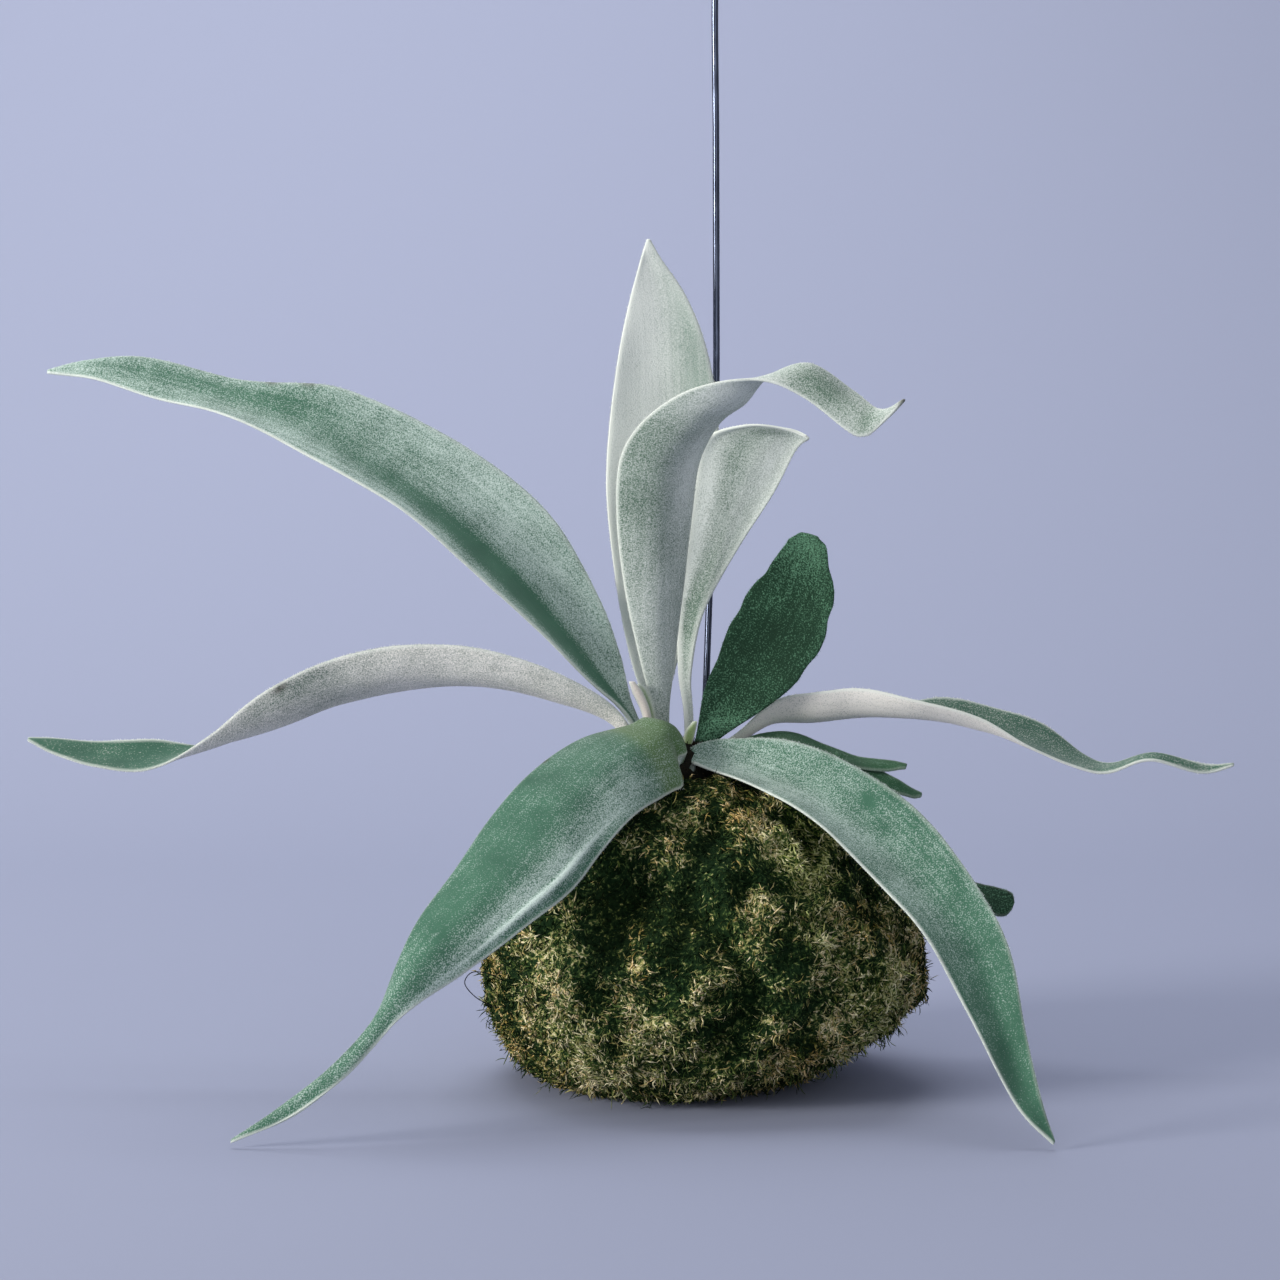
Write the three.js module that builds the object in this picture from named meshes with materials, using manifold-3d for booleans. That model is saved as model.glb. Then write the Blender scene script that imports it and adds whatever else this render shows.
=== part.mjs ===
// A young staghorn fern in a moss ball (kokedama) on a stiff hanger wire. Millimetres, +Z up.
// The origin is the middle of the flat spot that the ball rests on. +X is to the right, -Y is to the front.

import * as THREE from 'three';
import { mergeVertices } from 'three/addons/utils/BufferGeometryUtils.js';
import Module from 'manifold-3d';

const wasm = await Module();
wasm.setup();

// Clearance between pieces that touch
const GAP = 0.3;

// Moss ball: height, radius of the slice, and how far its middle lies to the right of the rest spot
const BALL_SLICES = [
  [0, 28, -4], [2, 36, -4], [7, 45, -1.5], [15, 53, 2.5], [26, 60, 7.5], [38, 62.5, 8], [50, 60, 6.5],
  [62, 53, 5], [74, 42, 4], [84, 28, 3], [90, 13, 1], [92, 0, 1],
];
const BALL_MIDDLE = [5, 0, 44];
const BALL_SECTORS = 56;
const BALL_ROWS = 32;
const MOSS_THICKNESS = 9;
const LUMP_SIZE = 21;
const LUMP_HEIGHT = 3.8;
const TUFT_SIZE = 9;
const TUFT_HEIGHT = 3.8;
const RELIEF_START = 1;
const RELIEF_FULL = 12;
// Furrows where the sheets of moss meet: bearing seen from above (0 = right, -90 = front), half width,
// depth, and the lowest and highest height
const FURROWS = [
  { bearing: -113, halfWidth: 8, depth: 5, low: 24, high: 74 },
  { bearing: -84, halfWidth: 6, depth: 5.5, low: 8, high: 86 },
  { bearing: -20, halfWidth: 7, depth: 4, low: 14, high: 80 },
  { bearing: 60, halfWidth: 7, depth: 4.5, low: 12, high: 84 },
  { bearing: 150, halfWidth: 7, depth: 4, low: 16, high: 80 },
];
const FURROW_END = 12;
const FURROW_WANDER = 0.14;
const CORE_SECTORS = 24;
const CORE_ROWS = 10;

// Crown: the short stock that the fronds grow from
const CROWN_MIDDLE = [-1, 1.5, 89];
const CROWN_RADII = [13.5, 13, 9.5];
const CROWN_BUMP = 0.9;
const CROWN_BUMP_SIZE = 4;
const CROWN_SECTORS = 18;
const CROWN_ROWS = 11;

// Hanger wire
const WIRE_DIAMETER = 2;
const WIRE_SIDES = 8;
const WIRE_STEPS = 46;
const WIRE_FOOT = [[-4, 4, 34], [3, 9, 32.5], [5.6, 12, 36]];
const WIRE_RUN = [
  [6.2, 13.5, 62], [7, 16, 88], [8.7, 21, 135], [10.5, 28, 184], [10.9, 30, 200], [10.9, 30.5, 222],
  [10.7, 30.5, 270], [10.6, 30.5, 318],
];
const HOOK_RADIUS = 7;
const HOOK_TURN = 1.25 * Math.PI;
const HOOK_POINTS = 9;

// Thickness of a frond at the rim, along the middle, and of its stalk
const RIM = 0.75;
const BLADE = 1.2;
const STALK = 2.6;
const STALK_SHARE = 0.16;
const ACROSS = 6;
const PEG_ACROSS = 4;
// How much of the stalk's extra thickness its rim keeps, and how sharply a blade bends along its middle
const RIM_SHARE = 0.6;
const CUP_POWER = 1.7;
// The rim ripples between these shares of the length
const RIPPLE_FROM = [0.15, 0.3];
const RIPPLE_TO = [1, 0.9];
const NICKS_FROM = [0.3, 0.5];
const NICK_TURNS = 40;
const CREST_END = 0.12;
const CREST_WIDTH = 0.28;

// Fronds. Each rung is x, y, z of one edge, x, y, z of the other edge, and how far the blade's middle
// stands off the straight line between them. The first rung is the peg in the crown.
const FRONDS = {
  frond_upper_left: {
    steps: 24, ripple: 0.5, waves: 5, colour: 0x829b8c,
    rungs: [
      [-8.5, 1.5, 92, -7, 5, 93, 0], [-15.5, 0, 105.5, -13.5, 4.5, 108, -1],
      [-25, -3, 114.5, -17.5, 7, 123.5, -3], [-40, -7, 129.5, -26.5, 10, 146, -6],
      [-57, -9, 146, -40, 14, 165, -7], [-80.5, -5, 165, -65, 18, 184, -6],
      [-107, 3, 180, -97, 22, 198, -4], [-131, 12, 190.5, -126.5, 26, 201, -2.5],
      [-153.5, 20, 196, -154.5, 30, 207, -1], [-172, 27, 201, -171, 31, 207, 0],
      [-185, 31, 202.5, -185, 31.5, 203.5, 0]],
  },
  frond_left: {
    steps: 24, ripple: 0.4, waves: 4, colour: 0xb4b4aa,
    rungs: [
      [-11.3, -4.2, 92, -11.5, -1.5, 91, 0], [-16.5, -8, 106.5, -18.5, -4, 103, -1],
      [-32, -16, 118, -34, -5, 109.5, -2], [-53, -20, 126, -55, -5, 114, -3.5],
      [-76, -22, 127.5, -77, -5, 113.5, -3.5], [-97, -22, 124, -97, -6, 109, -3],
      [-115, -22, 115.5, -114, -9, 102.5, -2.5], [-133, -22, 101, -134.5, -12, 98.5, -2],
      [-149, -20, 92.5, -148, -11, 99.5, -1.5], [-165, -17, 92.5, -164, -10, 99, -1],
      [-176.5, -14, 95.5, -176, -10, 100, 0], [-185, -11, 99.5, -185, -10, 100.2, 0]],
  },
  frond_lower_left: {
    steps: 28, ripple: 0.6, waves: 5, colour: 0x6f9079,
    crest: { side: -0.6, height: 2.2, low: 0.28, high: 0.72 },
    rungs: [
      [-0.5, -9, 90, -4.5, -7, 91, 0], [1.5, -13, 96, -9, -7.5, 104.5, 3],
      [0, -23.5, 88.5, -15, -11, 103.5, 6], [-11.5, -40, 83, -29, -22, 100.5, 5],
      [-21.5, -52, 74, -40.5, -36, 94.5, 4], [-30.5, -62, 64, -52, -48, 82.5, 4],
      [-43.5, -70, 54.5, -61.5, -60, 70, 4], [-57, -76, 45.5, -70.5, -68, 58, 4],
      [-70, -80, 37, -76.5, -75, 46, 3], [-79, -83, 29.5, -82, -80, 33, 1],
      [-90, -86, 18, -92.5, -84, 21.5, 0.5], [-103, -88, 8.5, -105, -87, 12, 0],
      [-119.5, -88, 1.4, -119.5, -87.5, 2.2, 0]],
  },
  frond_lower_right: {
    steps: 26, ripple: 0.6, waves: 5, colour: 0x6c8f79,
    rungs: [
      [2.5, -8, 89.5, 3.5, -4.5, 90.5, 0], [4.5, -12, 92, 4.5, -4, 96.5, 1],
      [10, -17, 91, 10, -5, 99, 2], [22, -28, 88, 23, -10.5, 100, 4],
      [34.5, -42, 82, 40.5, -22, 98, 5], [47, -54, 72, 56.5, -34, 90, 5],
      [59, -64, 60, 70.5, -46, 78, 5], [68, -73, 48.5, 81, -58, 64, 4.5],
      [75.5, -80, 34.5, 88, -69, 48.5, 4], [83, -86, 19.5, 91, -79, 31, 3],
      [90, -89, 8.5, 94, -86, 14.5, 1], [97.5, -90, 1.4, 98, -89.5, 2.2, 0]],
  },
  frond_right: {
    steps: 26, ripple: 0.5, waves: 6, colour: 0xb7b3ae,
    rungs: [
      [7, 5, 92, 8, 8.5, 91, 0], [17.5, 7, 100, 17, 14, 96.5, 1],
      [26.5, 6, 108.5, 27, 18, 101.5, 2.5], [38.5, 3, 112, 40, 18, 101.5, 3],
      [53, 2, 112.5, 54.5, 19, 104, 4], [72, 0, 109.5, 74, 20, 108, 5.5],
      [87, 0, 103.5, 89, 20, 107, 5], [102, 1, 95.5, 105, 19, 101, 3],
      [111.5, 2, 90.5, 117.5, 15, 93, 1], [123, 3, 88.5, 125.5, 10, 90, 0],
      [136, 4, 91.5, 137, 8, 94, 0], [151, 6, 88, 151, 8, 90.5, 0],
      [160, 6, 90, 160, 6.5, 90.8, 0]],
  },
  frond_round: {
    steps: 18, ripple: 0.5, waves: 5, nick: 0.06, colour: 0x3a5a42,
    rungs: [
      [3.5, 2.5, 93, 6, 2, 92, 0], [5, 3.5, 101, 11.5, 1, 98.5, -0.5],
      [7, 5.5, 111.5, 22, 1, 105.5, -1.5], [12, 6.5, 125, 33, -2, 114.5, -2.5],
      [18, 5, 138.5, 41, -5, 127, -3], [25, 2, 147.5, 43.5, -8, 140, -2.5],
      [30, -2, 155, 41.5, -10, 152.5, -1.5], [34, -5.5, 158.2, 38.8, -8.5, 157.2, 0]],
  },
  frond_tall: {
    steps: 20, ripple: 0.4, waves: 4, colour: 0xc3cbc0,
    rungs: [
      [-6, 8.8, 92, -2.5, 9.6, 92, 0], [-9.5, 10, 106, -3.5, 11.5, 106, -0.5],
      [-14.5, 13, 121.5, 0, 16, 121.5, -2], [-19, 15, 145.5, 5, 19.5, 144.5, -4],
      [-21.3, 16.5, 168.5, 9, 21.5, 166.5, -5], [-20.3, 17.5, 189, 11.5, 22, 187.5, -5],
      [-17.8, 18.5, 208, 8.5, 22.5, 208.5, -4], [-14.3, 20, 224.5, 2, 22.5, 225, -2],
      [-11.3, 21.5, 235.5, -5.3, 22, 236, -0.5], [-9.4, 22, 241.5, -8.6, 22, 241.5, 0]],
  },
  frond_curled: {
    steps: 28, ripple: 0.3, waves: 4, colour: 0xaebcac,
    rungs: [
      [-5.5, 1.2, 92, -2.5, 1.8, 92, 0], [-7.6, 0, 106, -3.2, 1.8, 106, 0.5],
      [-11.5, -2, 121.5, -1.4, 3, 121, 1.5], [-15.8, -4, 141.5, 1, 3, 141, 3],
      [-18.3, -6, 164.5, 3.6, 2, 163, 4], [-16.5, -10, 181.5, 6, -2, 178.5, 4.5],
      [-7, -16, 193, 11.5, -8, 189.5, 3.5], [8, -22, 200.5, 18.5, -14, 195, 1],
      [22.5, -24, 201.5, 24.5, -18, 202, -0.5], [34.5, -25, 196, 36, -20, 206, -1.5],
      [45.5, -27, 187.5, 48, -23, 198.5, -1.5], [50.5, -29, 186, 53.5, -26, 194, -1],
      [55.5, -31, 189.5, 57, -29, 193.5, -0.5], [61, -33, 195.5, 61.5, -33, 196.3, 0]],
  },
  frond_upright: {
    steps: 20, ripple: 0.3, waves: 3, colour: 0xc6ccc2,
    rungs: [
      [1.6, 5.5, 92, 4.2, 5.5, 92, 0], [1.2, 7.5, 105.5, 3.9, 8, 105.5, 0],
      [-0.4, 9, 117, 3.4, 8, 117, -0.5], [-0.6, 10, 135, 6.8, 8, 134, -1.5],
      [2, 11, 153.5, 16.5, 6, 152.5, -3], [4.2, 11.5, 171, 26.6, 3, 168.5, -4],
      [7, 9, 184, 32, -1, 179.5, -4], [18.5, 4, 188.5, 34.2, -4, 183, -2],
      [29.5, -2, 187.5, 35.6, -5, 184, -0.5], [35.8, -5.5, 185.3, 36.4, -6, 184.7, 0]],
  },
  frond_forked: {
    steps: 12, ripple: 0.2, waves: 3, colour: 0x47664b,
    rungs: [
      [9.5, 1, 89.5, 10, 4.5, 89.5, 0], [17, 2.5, 95.5, 17, 7.5, 97, 0.5],
      [30, 3.5, 97, 31, 12, 99.5, 0.5], [41, 5, 92.5, 42.5, 13, 95.3, 0.5],
      [50, 6.5, 89.5, 51, 13, 92.3, 0.3], [60, 7.5, 88.5, 61, 11.5, 90.8, 0],
      [65.5, 8.2, 88.8, 66, 10, 89.8, 0]],
    side: [
      [44, 7, 91, 45, 12, 93.5, 0.3], [53, 6, 86.5, 56, 11.5, 89.5, 0.3],
      [60, 5, 83, 62.5, 9, 86, 0.2], [66.5, 4, 81.2, 68, 7.5, 82.8, 0],
      [69.5, 4, 81.2, 70, 5.5, 82, 0]],
  },
  frond_trailing: {
    steps: 18, ripple: 0.3, waves: 4, colour: 0x3c5040,
    rungs: [
      [4, 9, 89.5, 4.5, 12, 90.5, 0], [13, 13.5, 91.5, 12, 18, 92.5, 0.5],
      [30, 18, 90.5, 30, 26, 91.5, 1], [50, 21, 80, 53, 30, 82, 1.5],
      [69, 22, 65, 74, 31, 66.5, 1.5], [83, 21, 53, 87, 29, 56, 1],
      [90.5, 19.5, 45, 93.5, 26.5, 51.8, 0.5], [95.5, 20, 44, 98, 25, 50, 0],
      [98, 21.5, 45.8, 98.8, 23, 47.4, 0]],
  },
  bud_white: {
    steps: 7, ripple: 0, waves: 1, stalk: 2.4, colour: 0xc9beb4,
    rungs: [
      [-8.4, -4.4, 94, -6.8, -4, 94, 0], [-10.8, -4.8, 106, -8.4, -4.2, 106, 0.6],
      [-13.4, -5, 112, -10.6, -4.4, 112, 0.6], [-14.6, -4.9, 115.6, -13.2, -4.6, 115.6, 0.3]],
  },
  bud_green: {
    steps: 7, ripple: 0, waves: 1, stalk: 1.6, colour: 0x8ea376,
    rungs: [
      [-7, -2.4, 95, -5.6, -2.2, 95, 0], [-9.8, -2.4, 106, -8, -2.2, 106, 0.4],
      [-12, -2.6, 112, -10.2, -2.4, 112, 0.4], [-13.2, -2.6, 114.6, -12.4, -2.5, 114.6, 0.2]],
  },
  shoot: {
    steps: 7, ripple: 0, waves: 1, stalk: 1.8, colour: 0x8fae5a,
    rungs: [
      [-0.2, -1.4, 93, 1.5, -1, 93, 0], [0.8, -1.8, 98.5, 3.6, -1.2, 98.5, 0.6],
      [2, -2, 103, 4.8, -1.4, 103, 0.5], [4, -2, 106.3, 5, -1.8, 106.3, 0.2]],
  },
};

// Colours of the other pieces
const MOSS_COLOUR = 0x4a432a;
const SOIL_COLOUR = 0x3a2c20;
const CROWN_COLOUR = 0x5a4630;
const STEEL_COLOUR = 0x2c2e33;

function vector(list, start = 0) {
  return new THREE.Vector3(list[start], list[start + 1], list[start + 2]);
}

function smoothstep(low, high, value) {
  const t = THREE.MathUtils.clamp((value - low) / (high - low), 0, 1);
  return t * t * (3 - 2 * t);
}

// A fixed random number from 0 to 1 for each corner of a cubic lattice
function latticeValue(x, y, z) {
  const wave = Math.sin(x * 127.1 + y * 311.7 + z * 74.7) * 43758.5453;
  return wave - Math.floor(wave);
}

// Smooth noise from -1 to 1 whose bumps are about as wide as size
function noise(point, size) {
  const cell = point.clone().divideScalar(size);
  const base = cell.clone().floor();
  const part = cell.sub(base);
  const weight = [part.x, part.y, part.z].map((t) => t * t * (3 - 2 * t));
  let sum = 0;
  for (let corner = 0; corner < 8; corner += 1) {
    const step = [corner & 1, (corner >> 1) & 1, corner >> 2];
    const share = step.reduce((product, s, k) => product * (s ? weight[k] : 1 - weight[k]), 1);
    sum += share * latticeValue(base.x + step[0], base.y + step[1], base.z + step[2]);
  }
  return 2 * sum - 1;
}

// Between geometry and the solids that are joined and cut

function toSolid(geometry) {
  const bare = geometry.clone();
  bare.deleteAttribute('normal');
  bare.deleteAttribute('uv');
  const merged = mergeVertices(bare, 1e-4);
  const mesh = new wasm.Mesh({
    numProp: 3,
    vertProperties: Float32Array.from(merged.attributes.position.array),
    triVerts: Uint32Array.from(merged.index.array),
  });
  return new wasm.Manifold(mesh);
}

function toGeometry(solid) {
  const mesh = solid.getMesh();
  const geometry = new THREE.BufferGeometry();
  geometry.setAttribute('position', new THREE.BufferAttribute(mesh.vertProperties, 3));
  geometry.setIndex(new THREE.BufferAttribute(mesh.triVerts, 1));
  geometry.computeVertexNormals();
  return geometry;
}

// Fronds

function stalkThickness(frond, share) {
  const stalk = frond.stalk ?? STALK;
  return THREE.MathUtils.lerp(stalk, BLADE, smoothstep(0, STALK_SHARE, share));
}

// A raised fold along the blade, where it has one
function crestHeight(crest, share, side) {
  if (!crest) return 0;
  const start = smoothstep(crest.low, crest.low + CREST_END, share);
  const end = smoothstep(crest.high, crest.high - CREST_END, share);
  return crest.height * start * end * Math.exp(-(((side - crest.side) / CREST_WIDTH) ** 2));
}

// The blade's middle surface. share runs from root to tip, side from -1 at one edge to 1 at the other.
function bladeSurface(frond, rungs) {
  const edges = [0, 3].map((start) => {
    const points = rungs.map((rung) => vector(rung, start));
    return new THREE.CatmullRomCurve3(points, false, 'catmullrom');
  });
  const cups = new THREE.SplineCurve(rungs.map((rung, k) => new THREE.Vector2(k, rung[6])));
  return (share, side) => {
    const [one, other] = edges.map((edge) => edge.getPoint(share));
    const [oneWay, otherWay] = edges.map((edge) => edge.getTangent(share));
    const out = other.clone().sub(one).cross(oneWay.add(otherWay)).normalize();
    const nick = (frond.nick ?? 0) * Math.max(0, Math.sin(share * NICK_TURNS + side));
    const width = 1 - nick * smoothstep(...NICKS_FROM, share);
    const reach = Math.abs(side);
    const cup = cups.getPoint(share).y * (1 - reach ** CUP_POWER) + crestHeight(frond.crest, share, side);
    const swell = smoothstep(...RIPPLE_FROM, share) * smoothstep(...RIPPLE_TO, share);
    const ripple = frond.ripple * reach ** 3 * Math.sin(2 * Math.PI * frond.waves * share + side * 1.3);
    return one.lerp(other, 0.5 + 0.5 * side * width).addScaledVector(out, cup + ripple * swell);
  };
}

// Both faces of the blade as rows of points, each half the thickness off the middle surface
function bladeFaces(frond, rungs, across, grow) {
  const surface = bladeSurface(frond, rungs);
  const near = 0.01;
  const beside = 0.1;
  const faces = [[], []];
  for (let row = 0; row <= frond.steps; row += 1) {
    for (let column = 0; column <= across; column += 1) {
      const share = row / frond.steps;
      const side = (2 * column) / across - 1;
      const middle = surface(share, side);
      const onward = surface(Math.min(share + near, 1), side).sub(surface(Math.max(share - near, 0), side));
      const sideways = surface(share, Math.min(side + beside, 1));
      sideways.sub(surface(share, Math.max(side - beside, -1)));
      const out = sideways.clone().cross(onward).normalize();
      const full = stalkThickness(frond, share);
      const rim = Math.min(full, RIM + (full - BLADE) * RIM_SHARE);
      const thickness = THREE.MathUtils.lerp(full, rim, side * side);
      middle.addScaledVector(sideways.normalize(), side * grow);
      if (row === 0) middle.addScaledVector(onward.normalize(), -grow);
      faces[0].push(middle.clone().addScaledVector(out, thickness / 2 + grow));
      faces[1].push(middle.clone().addScaledVector(out, -thickness / 2 - grow));
    }
  }
  return faces;
}

// A closed blade: two faces with alike triangles, a rim down each side and a cap at each end
function bladeGeometry(frond, rungs, across, grow) {
  const { steps } = frond;
  const faces = bladeFaces(frond, rungs, across, grow);
  const width = across + 1;
  const below = faces[0].length;
  const index = [];
  const quad = (a, b, c, d) => index.push(a, b, c, a, c, d);
  for (let row = 0; row < steps; row += 1) {
    for (let column = 0; column < across; column += 1) {
      const a = row * width + column;
      const [b, c, d] = [a + 1, a + width + 1, a + width];
      quad(a, b, c, d);
      index.push(a + below, c + below, b + below, a + below, d + below, c + below);
    }
    const left = row * width;
    const right = left + across;
    quad(left, left + width, left + width + below, left + below);
    quad(right, right + below, right + width + below, right + width);
  }
  for (let column = 0; column < across; column += 1) {
    const root = column;
    const tip = steps * width + column;
    quad(root, root + below, root + 1 + below, root + 1);
    quad(tip, tip + 1, tip + 1 + below, tip + below);
  }
  const geometry = new THREE.BufferGeometry().setFromPoints([...faces[0], ...faces[1]]);
  geometry.setIndex(index);
  geometry.computeVertexNormals();
  return geometry;
}

// A frond, with its side finger fused on where it has one. Grown, it is the room that it needs in the crown.
function frondSolid(frond, across = ACROSS, grow = 0) {
  const blade = toSolid(bladeGeometry(frond, frond.rungs, across, grow));
  if (!frond.side) return blade;
  return blade.add(toSolid(bladeGeometry(frond, frond.side, across, grow)));
}

// Moss ball

// How far the middle of the ball's slice at a height lies to the right
function sliceShift(height) {
  let next = BALL_SLICES.findIndex((slice) => slice[0] >= height);
  next = next < 1 ? 1 : next;
  const [low, high] = [BALL_SLICES[next - 1], BALL_SLICES[next]];
  const t = THREE.MathUtils.clamp((height - low[0]) / (high[0] - low[0]), 0, 1);
  return THREE.MathUtils.lerp(low[2], high[2], t);
}

// How far the moss stands out from the smooth ball at a point. It dies out towards the flat spot.
function mossRelief(point) {
  const fade = smoothstep(RELIEF_START, RELIEF_FULL, point.z);
  const bearing = Math.atan2(point.y, point.x - BALL_MIDDLE[0]);
  let furrow = 0;
  for (const { bearing: at, halfWidth, depth, low, high } of FURROWS) {
    const wander = FURROW_WANDER * Math.sin(point.z / TUFT_SIZE + at);
    const turn = bearing - THREE.MathUtils.degToRad(at) - wander;
    const away = Math.atan2(Math.sin(turn), Math.cos(turn)) * Math.hypot(point.x - BALL_MIDDLE[0], point.y);
    const span = smoothstep(low, low + FURROW_END, point.z) * smoothstep(high, high - FURROW_END, point.z);
    furrow -= depth * span * Math.exp(-((away / halfWidth) ** 2));
  }
  const tuft = TUFT_HEIGHT * (0.5 - Math.abs(noise(point, TUFT_SIZE)));
  return fade * (LUMP_HEIGHT * noise(point, LUMP_SIZE) + tuft + furrow);
}

// The ball turned from its slices, each slice moved sideways, with or without the moss's relief
function ballGeometry(sectors, rows, relief) {
  const corners = BALL_SLICES.map(([height, radius]) => new THREE.Vector3(radius, height, 0));
  const outline = new THREE.CatmullRomCurve3(corners, false, 'centripetal');
  const profile = outline.getSpacedPoints(rows);
  profile.forEach((p) => p.set(Math.max(p.x, 0), Math.max(p.y, 0), 0));
  profile[rows].x = 0;
  const geometry = new THREE.LatheGeometry([new THREE.Vector2(0, 0), ...profile], sectors);
  geometry.rotateX(Math.PI / 2);
  const position = geometry.attributes.position;
  const middle = vector(BALL_MIDDLE);
  const point = new THREE.Vector3();
  for (let k = 0; k < position.count; k += 1) {
    point.fromBufferAttribute(position, k);
    point.x += sliceShift(point.z);
    if (relief) {
      const out = point.clone().sub(middle).normalize();
      point.addScaledVector(out, mossRelief(point));
    }
    position.setXYZ(k, point.x, point.y, point.z);
  }
  return geometry;
}

// The soil inside the moss: the smooth ball, smaller by the moss all round
function coreGeometry(grow = 0) {
  const geometry = ballGeometry(CORE_SECTORS, CORE_ROWS, false);
  const wall = MOSS_THICKNESS - grow;
  const widest = Math.max(...BALL_SLICES.map((slice) => slice[1]));
  const height = BALL_SLICES[BALL_SLICES.length - 1][0];
  const [x, y] = BALL_MIDDLE;
  geometry.translate(-x, -y, -height / 2);
  geometry.scale(1 - wall / widest, 1 - wall / widest, 1 - (2 * wall) / height);
  geometry.translate(x, y, height / 2);
  return geometry;
}

// Crown

function crownGeometry(grow = 0) {
  const geometry = new THREE.SphereGeometry(1, CROWN_SECTORS, CROWN_ROWS);
  geometry.rotateX(Math.PI / 2);
  const position = geometry.attributes.position;
  const point = new THREE.Vector3();
  for (let k = 0; k < position.count; k += 1) {
    point.fromBufferAttribute(position, k);
    const bump = CROWN_BUMP * noise(point.clone().multiplyScalar(CROWN_RADII[0]), CROWN_BUMP_SIZE);
    point.set(...CROWN_RADII.map((radius, axis) => point.getComponent(axis) * (radius + bump + grow)));
    point.add(vector(CROWN_MIDDLE));
    position.setXYZ(k, point.x, point.y, point.z);
  }
  return geometry;
}

// Hanger wire: a bent foot in the soil, the run, and an open hook at the top

function wireGeometry(grow = 0) {
  const points = [...WIRE_FOOT, ...WIRE_RUN].map((list) => vector(list));
  const top = points[points.length - 1];
  for (let step = 1; step <= HOOK_POINTS; step += 1) {
    const turn = (step / HOOK_POINTS) * HOOK_TURN;
    const [right, up] = [HOOK_RADIUS * (1 - Math.cos(turn)), HOOK_RADIUS * Math.sin(turn)];
    points.push(new THREE.Vector3(top.x + right, top.y, top.z + up));
  }
  const path = new THREE.CatmullRomCurve3(points, false, 'centripetal');
  const radius = WIRE_DIAMETER / 2 + grow;
  const section = new THREE.Shape(Array.from({ length: WIRE_SIDES }, (_, k) => {
    const turn = (2 * Math.PI * k) / WIRE_SIDES;
    return new THREE.Vector2(radius * Math.cos(turn), radius * Math.sin(turn));
  }));
  return new THREE.ExtrudeGeometry(section, { steps: WIRE_STEPS, bevelEnabled: false, extrudePath: path });
}

// Assembly

function mesh(name, solid, colour, roughness, metalness = 0) {
  const material = new THREE.MeshStandardMaterial({ color: colour, roughness, metalness });
  const part = new THREE.Mesh(toGeometry(solid), material);
  part.name = name;
  return part;
}

function build() {
  const group = new THREE.Group();
  const frondNames = Object.keys(FRONDS);
  let pegs = null;
  for (const name of frondNames) {
    const grown = frondSolid(FRONDS[name], PEG_ACROSS, GAP);
    pegs = pegs ? pegs.add(grown) : grown;
    group.add(mesh(name, frondSolid(FRONDS[name]), FRONDS[name].colour, 0.85));
  }
  const wireHole = toSolid(wireGeometry(GAP));
  const crownHole = toSolid(crownGeometry(GAP));
  const crown = toSolid(crownGeometry()).subtract(pegs).subtract(wireHole);
  const core = toSolid(coreGeometry()).subtract(crownHole).subtract(wireHole);
  const jacket = toSolid(ballGeometry(BALL_SECTORS, BALL_ROWS, true)).subtract(toSolid(coreGeometry(GAP)))
    .subtract(crownHole).subtract(wireHole).subtract(pegs);
  group.add(mesh('crown', crown, CROWN_COLOUR, 0.9));
  group.add(mesh('soil_core', core, SOIL_COLOUR, 0.95));
  group.add(mesh('moss_jacket', jacket, MOSS_COLOUR, 0.95));
  group.add(mesh('hanger_wire', toSolid(wireGeometry()), STEEL_COLOUR, 0.3, 1));
  return group;
}

export default build();
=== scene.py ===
"""Looks of a young staghorn fern that grows out of a moss ball on a stiff hanger wire.

The tables below are in millimetres, and MM turns them into the metres of the frame. The origin is the
middle of the flat spot that the ball rests on. +X is to the right and -Y is to the front.
"""

import logging
import math
from dataclasses import dataclass
from enum import Enum
from functools import cache

import bpy
import numpy as np
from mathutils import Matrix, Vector
from mathutils.bvhtree import BVHTree


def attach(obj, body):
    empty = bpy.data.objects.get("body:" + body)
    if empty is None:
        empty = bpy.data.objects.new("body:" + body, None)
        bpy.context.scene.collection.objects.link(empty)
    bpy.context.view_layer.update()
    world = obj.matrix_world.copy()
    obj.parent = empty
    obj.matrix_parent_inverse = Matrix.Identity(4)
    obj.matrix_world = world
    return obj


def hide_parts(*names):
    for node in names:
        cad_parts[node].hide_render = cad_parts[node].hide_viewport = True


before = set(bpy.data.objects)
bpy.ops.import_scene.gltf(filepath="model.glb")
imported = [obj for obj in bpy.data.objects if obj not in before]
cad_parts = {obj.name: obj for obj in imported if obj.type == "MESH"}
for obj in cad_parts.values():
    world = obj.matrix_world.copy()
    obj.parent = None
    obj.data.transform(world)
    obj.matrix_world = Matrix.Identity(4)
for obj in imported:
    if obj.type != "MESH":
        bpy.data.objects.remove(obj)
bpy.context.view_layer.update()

MM = 0.001
SEED = 7
TINY = 1e-12
SHORTEST_KNOT = 1e-4

# A corner's coordinates and these numbers, which are the ones of the solid's noise, give its random height
HASH_TURNS = (127.1, 311.7, 74.7)
HASH_SCALE = 43758.5453

log = logging.getLogger("moss_ball")

Array = np.ndarray
Pair = tuple[float, float]
Triple = tuple[float, float, float]
Rung = tuple[float, float, float, float, float, float, float]


class Face(Enum):
    """The two faces of a frond."""

    UPPER = 1
    UNDER = 0
    BOTH = 2


class Coat(Enum):
    """What a patch on a frond changes. Each is an attribute that the frond's material reads."""

    FELT = "felt"
    OLIVE = "olive"
    BROWN = "brown"

    @property
    def least(self) -> float:
        """The least amount: bare felt may go below 0, so that even the speckles thin out."""
        return -0.5 if self is Coat.FELT else 0.0


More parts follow.
